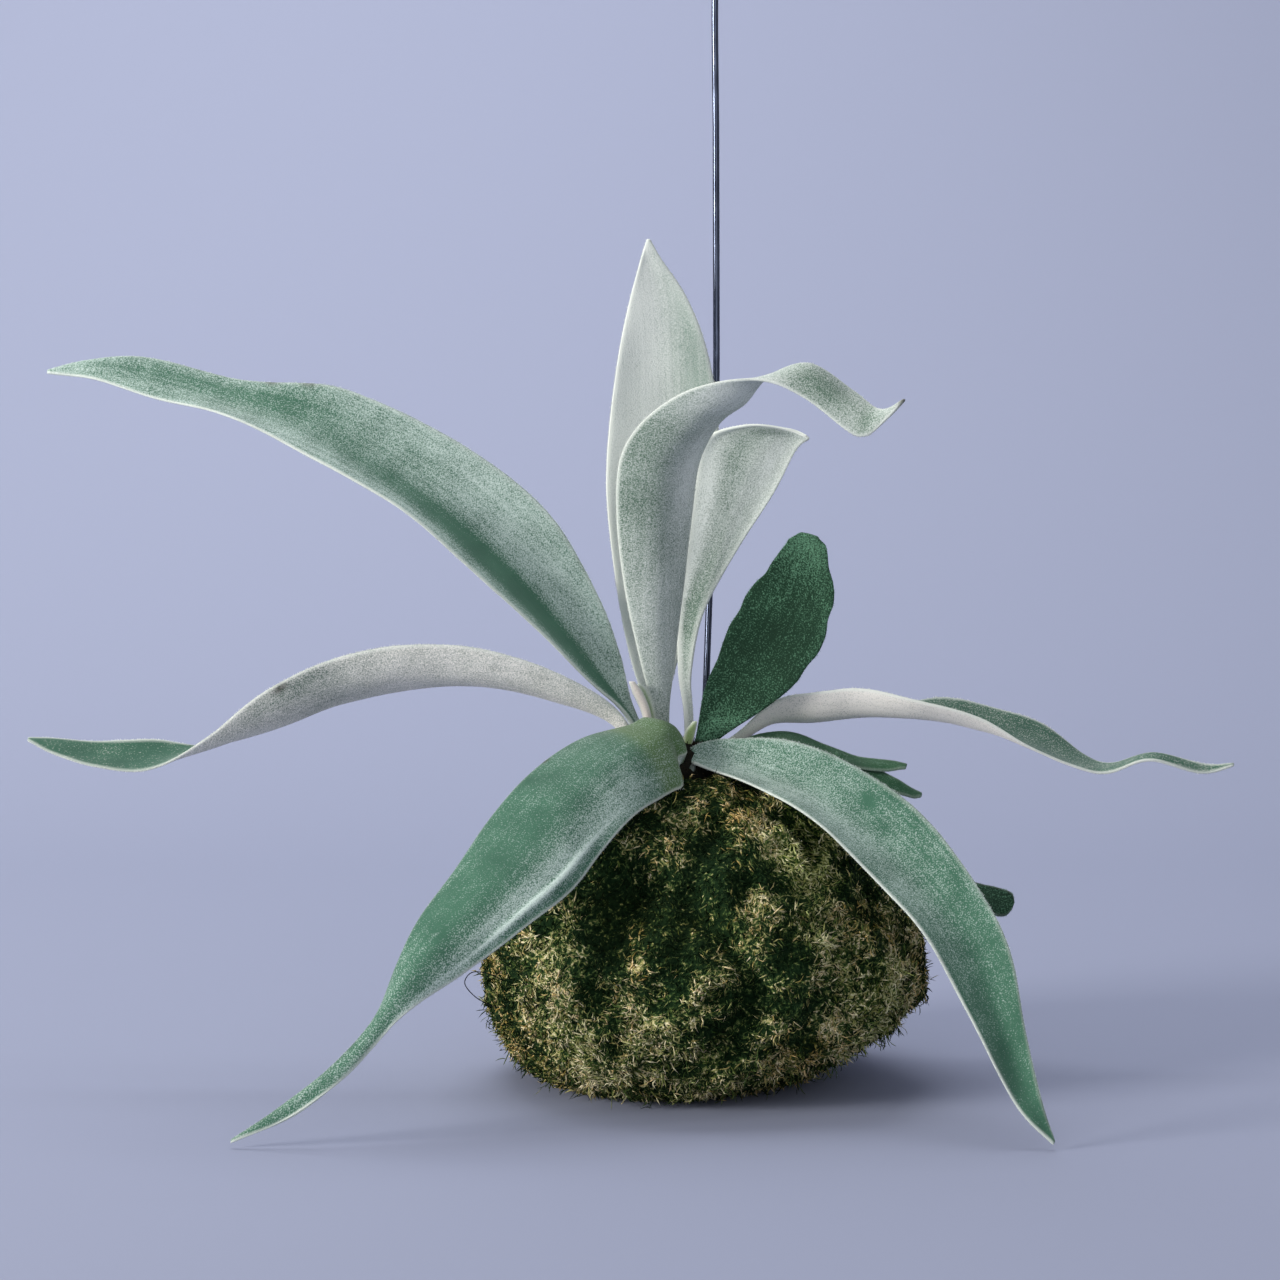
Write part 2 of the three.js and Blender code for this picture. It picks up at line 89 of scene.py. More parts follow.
class Layer(Enum):
    """Where strands of moss are sown: all over, on the lumps, or at the ball's outline."""

    ALL = "all"
    LUMPS = "lumps"
    OUTLINE = "outline"


def linear(code: str) -> tuple[float, float, float, float]:
    """Turns an sRGB colour into the linear one that shaders use.

    Args:
        code: six hex digits, such as "8a9b7c".

    Returns:
        Linear red, green and blue, and an alpha of 1.
    """
    parts = [int(code[k:k + 2], 16) / 255 for k in (0, 2, 4)]
    red, green, blue = [p / 12.92 if p <= 0.04045 else ((p + 0.055) / 1.055) ** 2.4 for p in parts]
    return red, green, blue, 1.0


def smoothstep(low: float, high: float, value: Array) -> Array:
    """Rises smoothly from 0 at low to 1 at high, where low may be above high."""
    t = np.clip((np.asarray(value, float) - low) / (high - low), 0, 1)
    return t * t * (3 - 2 * t)


def lattice_noise(points: Array, size: float) -> Array:
    """Smooth noise in space, the same as the one that shaped the solid ball.

    Args:
        points: places in millimetres, one to a row.
        size: how wide a bump is, in millimetres.

    Returns:
        A value from -1 to 1 for each place.
    """
    cell = points / size
    base = np.floor(cell)
    part = cell - base
    weight = part * part * (3 - 2 * part)
    total = np.zeros(len(points))
    for corner in range(8):
        step = np.array([corner & 1, corner >> 1 & 1, corner >> 2])
        share = np.where(step, weight, 1 - weight).prod(1)
        at = base + step
        wave = np.sin(sum(at[:, k] * turn for k, turn in enumerate(HASH_TURNS))) * HASH_SCALE
        total += share * (wave - np.floor(wave))
    return 2 * total - 1


def spline(points: Array, shares: Array, centripetal: bool = False) -> Array:
    """A Catmull-Rom curve through points, whose ends go straight on.

    Args:
        points: the points that it passes, one to a row.
        shares: where to read it, from 0 at the first point to 1 at the last.
        centripetal: spaces its knots by the root of the distances, else evenly.

    Returns:
        One row for each share.
    """
    points = np.asarray(points, float)
    run = np.vstack([2 * points[:1] - points[1:2], points, 2 * points[-1:] - points[-2:-1]])
    place = np.clip(shares, 0, 1) * (len(points) - 1)
    start = np.minimum(place.astype(int), len(points) - 2)
    t = (place - start)[:, None]
    a, b, c, d = [run[start + k] for k in range(4)]
    if centripetal:
        before, here, after = (np.maximum(np.linalg.norm(q - p, axis=1)[:, None] ** 0.5, SHORTEST_KNOT)
                               for p, q in ((a, b), (b, c), (c, d)))
        leave = ((b - a) / before - (c - a) / (before + here) + (c - b) / here) * here
        arrive = ((c - b) / here - (d - b) / (here + after) + (d - c) / after) * here
    else:
        leave, arrive = (c - a) / 2, (d - b) / 2
    return (b + leave * t + (3 * (c - b) - 2 * leave - arrive) * t ** 2
            + (2 * (b - c) + leave + arrive) * t ** 3)


def unit(vectors: Array) -> Array:
    """The same directions with a length of 1."""
    return vectors / np.maximum(np.linalg.norm(vectors, axis=1, keepdims=True), TINY)


def edit_mesh(select: str) -> None:
    """Opens the active object in edit mode, and selects all of it ("SELECT") or nothing ("DESELECT")."""
    bpy.ops.object.mode_set(mode="EDIT")
    bpy.ops.mesh.select_all(action=select)


def pick(obj: bpy.types.Object) -> None:
    """Makes an object the only selected one and the active one.

    Args:
        obj: the object to pick.
    """
    bpy.ops.object.select_all(action="DESELECT")
    obj.select_set(True)
    bpy.context.view_layer.objects.active = obj


def finish_with(obj: bpy.types.Object, kind: str, **settings: object) -> None:
    """Adds a modifier to an object, sets it and applies it.

    Args:
        obj: the piece.
        kind: Blender's name for the modifier, such as "SOLIDIFY".
        settings: the modifier's properties.
    """
    pick(obj)
    modifier = obj.modifiers.new(kind.title(), kind)
    for name, value in settings.items():
        setattr(modifier, name, value)
    bpy.ops.object.modifier_apply(modifier=modifier.name)


def places(obj: bpy.types.Object) -> Array:
    """Reads where a mesh's vertices lie.

    Args:
        obj: a mesh object at the origin.

    Returns:
        The places in millimetres, one to a row.
    """
    flat = np.zeros(len(obj.data.vertices) * 3)
    obj.data.vertices.foreach_get("co", flat)
    return flat.reshape(-1, 3) / MM


def put_places(obj: bpy.types.Object, points: Array) -> None:
    """Moves a mesh's vertices to places in millimetres."""
    obj.data.vertices.foreach_set("co", (points * MM).ravel())
    obj.data.update()


def read_values(obj: bpy.types.Object, name: str) -> Array:
    """Reads an attribute.

    Args:
        obj: a mesh object.
        name: the attribute.

    Returns:
        One number for each vertex.
    """
    values = np.zeros(len(obj.data.vertices))
    obj.data.attributes[name].data.foreach_get("value", values)
    return values


def write_values(obj: bpy.types.Object, name: str, values: Array) -> None:
    """Writes one number for each vertex to an attribute, and makes it where it is missing.

    Args:
        obj: a mesh object.
        name: the attribute.
        values: one number for each vertex.
    """
    attributes = obj.data.attributes
    attribute = attributes.get(name) or attributes.new(name, "FLOAT", "POINT")
    attribute.data.foreach_set("value", np.asarray(values, np.float32))


def add_object(name: str, data: bpy.types.Mesh | bpy.types.Curve) -> bpy.types.Object:
    """Puts a mesh or a curve into the scene, at the origin.

    Args:
        name: the new object's name.
        data: its mesh or curve.

    Returns:
        The new object.
    """
    obj = bpy.data.objects.new(name, data)
    bpy.context.scene.collection.objects.link(obj)
    return obj


def paint(obj: bpy.types.Object, material: bpy.types.Material) -> None:
    """Gives a piece one material in place of those that it has."""
    obj.data.materials.clear()
    obj.data.materials.append(material)


def crosses(line: Array, fronds: BVHTree) -> bool:
    """Tells whether a fibre would run through a frond.

    Args:
        line: the fibre's points from root to tip, in millimetres.
        fronds: the fronds as a search tree, in metres.

    Returns:
        True where the straight way from its root to its tip meets a frond.
    """
    start = Vector(line[0] * MM)
    way = Vector(line[-1] * MM) - start
    return fronds.ray_cast(start, way.normalized(), way.length)[3] is not None


def mesh_of(name: str, points: Array, triangles: Array) -> bpy.types.Object:
    """Makes a smooth mesh object of triangles.

    Args:
        name: the object's name.
        points: places in millimetres.
        triangles: three corners to a row.

    Returns:
        The new object, at the origin.
    """
    mesh = bpy.data.meshes.new(name)
    mesh.vertices.add(len(points))
    mesh.vertices.foreach_set("co", (points * MM).ravel())
    mesh.loops.add(len(triangles) * 3)
    mesh.loops.foreach_set("vertex_index", triangles.ravel().astype(np.int32))
    mesh.polygons.add(len(triangles))
    mesh.polygons.foreach_set("loop_start", np.arange(0, len(triangles) * 3, 3, dtype=np.int32))
    mesh.polygons.foreach_set("use_smooth", np.ones(len(triangles), bool))
    mesh.update(calc_edges=True)
    return add_object(name, mesh)


@dataclass
class Strands:
    """Thin tapered fibres, three-sided and closed, each in a row of the arrays. Millimetres."""

    roots: Array
    headings: Array
    bends: Array
    lengths: Array
    widths: Array
    joints: int = 2

    # Branches turn off by this spread and are these shares of their stem. A steeper heading than UPRIGHT is
    # measured against X, because it is too near to Z
    BRANCH_SPREAD = 0.7
    BRANCH_LENGTHS = (0.35, 0.7)
    BRANCH_WIDTH = 0.8
    UPRIGHT = 0.8
    SIDES = 3

    def parts(self) -> list[Array]:
        """Its arrays in the order of the fields."""
        return [self.roots, self.headings, self.bends, self.lengths, self.widths]

    def spine(self) -> Array:
        """Finds each fibre's middle line.

        Returns:
            For each fibre its points from root to tip, in millimetres.
        """
        at = self.roots
        line = [at]
        for k in range(self.joints):
            way = unit(self.headings + self.bends * (k / self.joints))
            at = at + way * (self.lengths / self.joints)[:, None]
            line.append(at)
        return np.stack(line, 1)

    def swell(self, joint: int) -> float:
        """The share of its full width that a fibre has at a joint: it is thickest in its middle."""
        return 0.5 + 0.5 * math.sin(math.pi * joint / self.joints) if self.joints > 1 else 1.0

    def keep(self, chosen: Array) -> "Strands":
        """The same strands with only the chosen rows."""
        return Strands(*(part[chosen] for part in self.parts()), self.joints)

    def branched(self, count: int, rng: np.random.Generator) -> "Strands":
        """Adds side branches.

        Args:
            count: how many branches each fibre gets, each from a joint between its root and its tip.
            rng: the source of the random draws.

        Returns:
            The stems and then their branches.
        """
        line = self.spine()
        rows = np.arange(len(line))
        columns = [[part] for part in self.parts()]
        for _ in range(count):
            joints = rng.integers(1, self.joints, len(rows))
            headings = unit(self.headings + rng.normal(0, self.BRANCH_SPREAD, self.headings.shape))
            lengths = self.lengths * rng.uniform(*self.BRANCH_LENGTHS, len(rows))
            branch = (line[rows, joints], headings, self.bends, lengths, self.widths * self.BRANCH_WIDTH)
            for column, part in zip(columns, branch):
                column.append(part)
        return Strands(*(np.concatenate(column) for column in columns), self.joints)

    def build(self, name: str) -> bpy.types.Object:
        """Makes one mesh of all the fibres: a ring of three corners at each joint, and a point at the tip.

        Args:
            name: the new object's name.

        Returns:
            The fibres, without a material.
        """
        line = self.spine()
        count, joints = len(line), self.joints
        is_flat = np.abs(self.headings[:, 2:]) < self.UPRIGHT
        lean = np.where(is_flat, [[0.0, 0.0, 1.0]], [[1.0, 0.0, 0.0]])
        across = unit(np.cross(self.headings, lean))
        upward = np.cross(self.headings, across)
        sides = self.SIDES
        points = np.zeros((count, joints * sides + 1, 3))
        for k in range(joints):
            radius = (self.widths / 2 * self.swell(k))[:, None]
            for corner in range(sides):
                turn = 2 * math.pi * corner / sides
                off = across * math.cos(turn) + upward * math.sin(turn)
                points[:, k * sides + corner] = line[:, k] + off * radius
        points[:, -1] = line[:, -1]
        pattern = [(0, 2, 1)]
        for k in range(joints - 1):
            for corner in range(sides):
                a, b = k * sides + corner, k * sides + (corner + 1) % sides
                pattern += [(a, b, b + sides), (a, b + sides, a + sides)]
        last = (joints - 1) * sides
        pattern += [(last + corner, last + (corner + 1) % sides, joints * sides) for corner in range(sides)]
        steps = np.arange(count)[:, None, None] * (joints * sides + 1)
        triangles = (np.array(pattern)[None] + steps).reshape(-1, 3)
        return mesh_of(name, points.reshape(-1, 3), triangles)

    def spread(self, values: Array) -> Array:
        """Repeats one value of each fibre for all its vertices."""
        return np.repeat(values, self.joints * self.SIDES + 1)


def add_node(tree: bpy.types.NodeTree, kind: str, inputs: dict | None = None, output: int | str = 0,
             **settings: object) -> bpy.types.NodeSocket | None:
    """Adds a node to a tree, sets its properties, and sets or links its inputs.

    Args:
        tree: the material's or the world's node tree.
        kind: the node's type without the words in front, such as "Mix" for "ShaderNodeMix".
        inputs: for a socket's name or number, its value, or the output that is linked to it.
        output: the name or number of the output that is wanted.
        settings: the node's properties.

    Returns:
        The wanted output of the new node, or None where it has no outputs.
    """
    node = tree.nodes.new("ShaderNode" + kind)
    for name, value in settings.items():
        setattr(node, name, value)
    for socket, value in (inputs or {}).items():
        if isinstance(value, bpy.types.NodeSocket):
            tree.links.new(value, node.inputs[socket])
        else:
            node.inputs[socket].default_value = value
    return node.outputs[output] if len(node.outputs) else None


def new_material(name: str) -> tuple[bpy.types.Material, bpy.types.NodeTree, bpy.types.NodeSocket]:
    """Makes a material whose node tree holds only the place on the piece.

    Args:
        name: a maker's plain words for the finish.

    Returns:
        The material, its tree, and the output with a point's place on the piece in metres.
    """
    material = bpy.data.materials.new(name)
    material.use_nodes = True
    tree = material.node_tree
    tree.nodes.clear()
    return material, tree, add_node(tree, "TexCoord", output="Object")


@dataclass(frozen=True)
class FeltFinish:
    """Fern leaf under a felt of white star-shaped hairs.

    The eye sees a dull green speckled with white, a whiter rim where the hairs overhang, and faint
    lengthwise veins. Where the felt is rubbed off, the leaf is darker. On several fronds more felt is
    also painted light on lit parts, and less felt is painted shade on shaded parts. The real tufts are
    about 0.15 mm wide, too fine to show, so the speckle is drawn coarser.
    """

    name: str
    leaf: str
    leaf_shade: str
    felt: str
    olive: str = "4c6a3f"
    brown: str = "2e2a1c"
    rim: str = "dadfd6"
    speckle_mm: float = 0.36
    speckle_depth: float = 2.6
    patch_mm: float = 9.0
    patch_depth: float = 0.5
    vein_mm: float = 1.3
    vein_length_mm: float = 30.0
    vein_depth: float = 0.5
    vein_bump: float = 0.6
    sheen: float = 0.15

    @cache
    def material(self) -> bpy.types.Material:
        """Builds the material on its first call and hands the same one out on later ones.

        Returns:
            The material, which reads the attributes felt, rim, olive and brown of a frond.
        """
        material, tree, place = new_material(self.name)
        felt, rim, olive, brown = (add_node(tree, "Attribute", output="Fac", attribute_name=name)
                                   for name in ("felt", "rim", "olive", "brown"))
        speckle, patches = (
            add_node(tree, "TexNoise", {"Vector": place, "Scale": 1 / (size * MM), "Detail": 2.0})
            for size in (self.speckle_mm, self.patch_mm))
        blade = add_node(tree, "UVMap", uv_map="blade_mm")
        stretched = add_node(tree, "Mapping", {
            "Vector": blade, "Scale": (1 / self.vein_mm, 1 / self.vein_length_mm, 1.0)})
        veins = add_node(tree, "TexNoise", {"Vector": stretched, "Scale": 1.0, "Detail": 1.0})

        # The three patterns thicken and thin the felt about the frond's own amount of it
        cover = felt
        patterns = ((speckle, self.speckle_depth), (patches, self.patch_depth), (veins, self.vein_depth))
        for pattern, depth in patterns:
            cover = add_node(tree, "Math", {0: pattern, 1: depth, 2: cover}, operation="MULTIPLY_ADD")
        middle = sum(depth for _, depth in patterns) / 2
        cover = add_node(tree, "Math", {0: cover, 1: middle}, operation="SUBTRACT", use_clamp=True)

        colour = linear(self.leaf_shade)
        for share, over in ((patches, self.leaf), (olive, self.olive), (cover, self.felt), (rim, self.rim),
                            (brown, self.brown)):
            colour = add_node(tree, "Mix", {0: share, 6: colour, 7: linear(over)}, output=2,
                              data_type="RGBA")
        height = add_node(tree, "Math", {0: veins, 1: self.vein_bump, 2: speckle}, operation="MULTIPLY_ADD")
        bump = add_node(tree, "Bump", {"Height": height, "Strength": 0.4, "Distance": 0.3 * MM})
        shader = add_node(tree, "BsdfPrincipled", {
            "Base Color": colour, "Normal": bump, "Roughness": 0.85, "Specular IOR Level": 0.2,
            "Sheen Weight": self.sheen, "Sheen Roughness": 0.5})
        add_node(tree, "OutputMaterial", {"Surface": shader})
        return material


@dataclass(frozen=True)
class MossFinish:
    """Dried and living moss: straw where the fibres are old and dry, olive where they grow.

    The eye sees matte fibres of many browns and greens, nearly black in the gaps between them. The gap
    colour at the dark end of the ramp is painted shade for these gaps. Where fibre_share is above 0, thin
    bright lines stand for the fibres that are matted into the surface.
    """

    name: str
    fibre_share: float = 0.0
    gap: str = "071b09"
    shade: str = "1b2f17"
    olive: str = "526536"
    straw: str = "aca46e"
    tip: str = "e6dcb8"
    living: str = "c2d8a0"
    rust: str = "f6dcb6"
    grain_mm: float = 1.1
    grain_depth: float = 0.6
    fibre_sizes_mm: tuple[float, ...] = (2.0, 3.4)
    fibre_edge: float = 14.0
    fibre_fade: float = 4.0

    @cache
    def material(self) -> bpy.types.Material:
        """Builds the material on its first call and hands the same one out on later ones.

        Returns:
            The material, which reads tone, from gap to tip, and living, from rusty at -1 to green at 1.
        """
        material, tree, place = new_material(self.name)
        tone, living = (add_node(tree, "Attribute", output="Fac", attribute_name=name)
                        for name in ("tone", "living"))
        grain = add_node(tree, "TexNoise", {
            "Vector": place, "Scale": 1 / (self.grain_mm * MM), "Detail": 3.0})
        tone = add_node(tree, "Math", {0: grain, 1: self.grain_depth, 2: tone}, operation="MULTIPLY_ADD")
        tone = add_node(tree, "Math", {0: tone, 1: self.grain_depth / 2}, operation="SUBTRACT",
                        use_clamp=True)
        height = grain
        if self.fibre_share:
            # A fibre runs wherever a noise passes its middle value, and in the dark gaps there is none
            strength = add_node(tree, "Math", {0: tone, 1: self.fibre_fade}, operation="MULTIPLY",
                                use_clamp=True)
            strength = add_node(tree, "Math", {0: strength, 1: self.fibre_share}, operation="MULTIPLY")
            for size in self.fibre_sizes_mm:
                noise = add_node(tree, "TexNoise", {
                    "Vector": place, "Scale": 1 / (size * MM), "Detail": 1.0, "Distortion": 0.6})
                fold = add_node(tree, "Math", {0: noise, 1: 0.5}, operation="PINGPONG")
                fibre = add_node(tree, "Math", {0: fold, 1: self.fibre_edge, 2: 1 - self.fibre_edge / 2},
                                 operation="MULTIPLY_ADD", use_clamp=True)
                tone = add_node(tree, "Math", {0: fibre, 1: strength, 2: tone}, operation="MULTIPLY_ADD",
                                use_clamp=True)
                height = add_node(tree, "Math", {0: height, 1: fibre}, operation="ADD")
        colour = add_node(tree, "ValToRGB", {"Fac": tone})
        ramp = colour.node.color_ramp
        # gap is painted shade for the depth between the fibres.
        stops = (self.gap, self.shade, self.olive, self.straw, self.tip)
        for _ in stops[2:]:
            ramp.elements.new(0.5)
        for index, (element, code) in enumerate(zip(ramp.elements, stops)):
            element.position = index / (len(stops) - 1)
            element.color = linear(code)
        for sign, tint in ((1.0, self.living), (-1.0, self.rust)):
            share = add_node(tree, "Math", {0: living, 1: sign}, operation="MULTIPLY", use_clamp=True)
            colour = add_node(tree, "Mix", {0: share, 6: colour, 7: linear(tint)}, output=2,
                              data_type="RGBA", blend_type="MULTIPLY")
        bump = add_node(tree, "Bump", {"Height": height, "Strength": 0.6, "Distance": 0.6 * MM})
        shader = add_node(tree, "BsdfPrincipled", {
            "Base Color": colour, "Normal": bump, "Roughness": 0.9, "Specular IOR Level": 0.08})
        add_node(tree, "OutputMaterial", {"Surface": shader})
        return material


@dataclass(frozen=True)
class EarthFinish:
    """Crumbly or scaly brown matter, such as peat soil or the scales of a fern's stock.

    The eye sees dark brown with paler crumbs or scales, and no gloss.
    """

    name: str
    dark: str
    pale: str
    crumb_mm: float
    crumbs_in_lump: float = 4.0
    contrast: float = 2.2
    darkening: float = 0.7

    def material(self) -> bpy.types.Material:
        """Builds the material.

        Returns:
            The new material, which reads only the place on the piece.
        """
        material, tree, place = new_material(self.name)
        crumbs, lumps = (
            add_node(tree, "TexNoise", {"Vector": place, "Scale": 1 / (size * MM), "Detail": detail})
            for size, detail in ((self.crumb_mm, 4.0), (self.crumbs_in_lump * self.crumb_mm, 2.0)))
        share = add_node(tree, "Math", {0: crumbs, 1: self.contrast, 2: -self.darkening},
                         operation="MULTIPLY_ADD", use_clamp=True)
        share = add_node(tree, "Math", {0: share, 1: lumps}, operation="MULTIPLY")
        colour = add_node(tree, "Mix", {0: share, 6: linear(self.dark), 7: linear(self.pale)}, output=2,
                          data_type="RGBA")
        bump = add_node(tree, "Bump", {
            "Height": crumbs, "Strength": 0.7, "Distance": self.crumb_mm * 0.5 * MM})
        shader = add_node(tree, "BsdfPrincipled", {
            "Base Color": colour, "Normal": bump, "Roughness": 0.92, "Specular IOR Level": 0.2})
        add_node(tree, "OutputMaterial", {"Surface": shader})
        return material


@dataclass(frozen=True)
class SteelFinish:
    """Hard-drawn steel wire with a dark oxide skin, oiled.

    The eye sees a blue-black wire with one thin bright line down the lit side, a little streaky along it.
    """

    name: str
    dark: str
    light: str
    streak_mm: float = 0.5
    streak_length: float = 12.5
    stain_mm: float = 7.0
    smoothest: float = 0.1
    stain_roughness: float = 0.2

    def material(self) -> bpy.types.Material:
        """Builds the material.

        Returns:
            The new material, which reads only the place on the piece.
        """
        material, tree, place = new_material(self.name)
        drawn = add_node(tree, "Mapping", {"Vector": place, "Scale": (1.0, 1.0, 1 / self.streak_length)})
        streaks, stains = (
            add_node(tree, "TexNoise", {"Vector": at, "Scale": 1 / (size * MM), "Detail": detail})
            for at, size, detail in ((drawn, self.streak_mm, 2.0), (place, self.stain_mm, 3.0)))
        share = add_node(tree, "Math", {0: streaks, 1: stains}, operation="MULTIPLY")
        colour = add_node(tree, "Mix", {0: share, 6: linear(self.dark), 7: linear(self.light)}, output=2,
                          data_type="RGBA")
        rough = add_node(tree, "Math", {0: stains, 1: self.stain_roughness, 2: self.smoothest},
                         operation="MULTIPLY_ADD")
        bump = add_node(tree, "Bump", {"Height": streaks, "Strength": 0.15, "Distance": 0.05 * MM})
        shader = add_node(tree, "BsdfPrincipled", {
            "Base Color": colour, "Normal": bump, "Roughness": rough, "Metallic": 0.9})
        add_node(tree, "OutputMaterial", {"Surface": shader})
        return material


@dataclass(frozen=True)
class StudioFinish:
    """Matte painted board of a photographer's sweep.

    The eye sees one even pale tone. Its back lets the eye through, so that the plant shows from behind.
    """

    name: str
    paint: str
    tooth_mm: float = 2.0

    def material(self) -> bpy.types.Material:
        """Builds the material.

        Returns:
            The new material, which reads only the place on the piece.
        """
        material, tree, place = new_material(self.name)
        tooth = add_node(tree, "TexNoise", {
            "Vector": place, "Scale": 1 / (self.tooth_mm * MM), "Detail": 2.0})
        bump = add_node(tree, "Bump", {"Height": tooth, "Strength": 0.05, "Distance": 0.2 * MM})
        paint = add_node(tree, "BsdfPrincipled", {
            "Base Color": linear(self.paint), "Normal": bump, "Roughness": 0.9, "Specular IOR Level": 0.1})
        back = add_node(tree, "NewGeometry", output="Backfacing")
        board = add_node(tree, "MixShader", {0: back, 1: paint, 2: add_node(tree, "BsdfTransparent")})
        add_node(tree, "OutputMaterial", {"Surface": board})
        return material


@dataclass(frozen=True)
class Patch:
    """A soft-edged spot on a frond where a coat is thicker or thinner.

    share and side say where its middle is, from the root at 0 to the tip at 1 and from edge to edge at -1
    and 1. length and width are its half sizes in the same measures. Many felt patches are painted light,
    which pales a lit part, and painted shade, which darkens a shaded part.
    """

    coat: Coat
    face: Face
    share: float
    side: float
    length: float
    width: float
    amount: float

    def weight(self, share: Array, side: Array, upper: Array) -> Array:
        """How much it adds at each place of the frond.

        Args:
            share: where the place lies from root to tip.
            side: where it lies from edge to edge.
            upper: 1 on the upper face and 0 on the under face.

        Returns:
            One number for each place.
        """
        off = ((share - self.share) / self.length) ** 2 + ((side - self.side) / self.width) ** 2
        shown = {Face.UPPER: upper, Face.UNDER: 1 - upper, Face.BOTH: np.ones_like(upper)}[self.face]
        return self.amount * np.exp(-off) * shown


def marks(coat: Coat, face: Face, *rows: tuple[float, ...]) -> tuple[Patch, ...]:
    """Several patches of one coat on one face.

    Args:
        coat: what they change.
        face: where they lie.
        rows: the share, side, length, width and amount of each.

    Returns:
        The patches.
    """
    return tuple(Patch(coat, face, *row) for row in rows)


@dataclass(frozen=True)
class Crest:
    """A raised fold along a frond: where it lies across, its size, and the shares that it runs between."""

    side: float
    half_width: float
    height: float
    low: float
    high: float


@dataclass(frozen=True)
class Notch:
    """A hollow in a frond's first edge, or a point where depth is below 0.

    share and half_length are parts of the frond's length, and depth is a part of its half width.
    """

    share: float
    half_length: float
    depth: float


@dataclass(frozen=True)
class Frond:
    """One frond: a thin blade between the two edges that its rungs give.

    Each rung is x, y, z of one edge, x, y, z of the other edge, and how far the blade's middle stands off
    the straight line between them. The first rung is the peg in the crown.
    """

    name: str
    slot: str
    finish: FeltFinish
    rungs: tuple[Rung, ...]
    steps: int
    ripple: float
    waves: int
    upper_felt: float
    under_felt: float
    out_is_upper: bool = True
    pale_rims: Pair = (0.8, 0.8)
    rim_width: float = 1.0
    nick: float = 0.0
    stalk: float = 2.6
    across: int = 10
    crest: Crest | None = None
    notches: tuple[Notch, ...] = ()
    side_rungs: tuple[Rung, ...] = ()
    patches: tuple[Patch, ...] = ()

    # Thicknesses, the fuzz and the wavers are in millimetres. A pair of shares is where a change starts
    # along the frond and where it is full
    RIM = 0.75
    BLADE = 1.2
    STALK_SHARE = 0.16
    RIM_SHARE = 0.6
    CUP_POWER = 1.7
    CREST_END = 0.12
    NICK_TURNS = 40
    NICK_START = (0.3, 0.5)
    RIPPLE_TURN = 1.3
    RIPPLE_START, RIPPLE_END = (0.15, 0.3), (1, 0.9)
    WAVERS = ((11, 0.3), (4, 0.12))
    WAVER_START = (0.1, 0.3)
    RIM_START = (0.02, 0.1)
    FINER = 3
    FUZZ_GAP = 0.3
    FUZZ_SHARES = (0.06, 0.995)
    FUZZ_LENGTH = 0.55
    FUZZ_RANGE = (0.5, 1.2)
    FUZZ_WIDTH = 0.12
    FUZZ_SPREAD = 0.45
    FUZZ_DEPTH = 0.15
    FUZZ_INSIDE = 0.9
    OUT_SLOT, BACK_SLOT, RIM_SLOT = 0, 1, 2

    def surface(self, rungs: tuple[Rung, ...], share: Array, side: Array) -> Array:
        """Places on the blade's middle surface.

        Args:
            rungs: the rungs of the blade or of its side finger.
            share: from 0 at the root to 1 at the tip.
            side: from -1 at one edge to 1 at the other.

        Returns:
            Places in millimetres, one to a row.
        """
        table = np.array(rungs, float)
        edges = table[:, 0:3], table[:, 3:6]
        one, other = (spline(edge, share) for edge in edges)
        small = 0.0001
        along = sum(unit(spline(edge, share + small) - spline(edge, share - small)) for edge in edges)
        out = unit(np.cross(other - one, along))
        nick = self.nick * np.maximum(0, np.sin(share * self.NICK_TURNS + side))
        nick *= smoothstep(*self.NICK_START, share)
        for notch in self.notches:
            off = (share - notch.share) / notch.half_length
            nick = nick + notch.depth * np.exp(-(off ** 2)) * (side < 0)
        reach = np.abs(side)
        cup = spline(table[:, 6:7], share)[:, 0] * (1 - reach ** self.CUP_POWER) + self.fold(share, side)
        ripple = self.ripple * reach ** 3 * np.sin(2 * math.pi * self.waves * share + side * self.RIPPLE_TURN)
        ripple *= smoothstep(*self.RIPPLE_START, share) * smoothstep(*self.RIPPLE_END, share)
        flat = one + (other - one) * (0.5 + 0.5 * side * (1 - nick))[:, None]
        lift = cup + ripple + self.waver(flat, share)
        return flat + out * lift[:, None]

    def waver(self, points: Array, share: Array) -> Array:
        """The slight unevenness of a grown leaf, a fraction of a millimetre."""
        swell = smoothstep(*self.WAVER_START, share)
        return swell * sum(height * lattice_noise(points, size) for size, height in self.WAVERS)

    def fold(self, share: Array, side: Array) -> Array:
        """Raises the long fold.

        Args:
            share: from 0 at the root to 1 at the tip.
            side: from -1 at one edge to 1 at the other.

        Returns:
            The fold's height at each place, or 0 where the frond has none.
        """
        if self.crest is None:
            return np.zeros_like(share)
        start = smoothstep(self.crest.low, self.crest.low + self.CREST_END, share)
        end = smoothstep(self.crest.high, self.crest.high - self.CREST_END, share)
        across = (side - self.crest.side) / self.crest.half_width
        return self.crest.height * start * end * np.exp(-(across ** 2))

    def edge_length(self, rungs: tuple[Rung, ...]) -> float:
        """How long the first edge is, along its rungs."""
        return np.linalg.norm(np.diff(np.array(rungs, float)[:, 0:3], axis=0), axis=1).sum()

    def thickness(self, share: Array, side: Array) -> Array:
        """Finds how thick the blade is, from its stalk to its thin rim.

        Args:
            share: from 0 at the root to 1 at the tip.
            side: from -1 at one edge to 1 at the other.

        Returns:
            Its thickness in millimetres.
        """
        full = self.stalk + (self.BLADE - self.stalk) * smoothstep(0, self.STALK_SHARE, share)
        rim = np.minimum(full, self.RIM + (full - self.BLADE) * self.RIM_SHARE)
        return full + (rim - full) * side ** 2

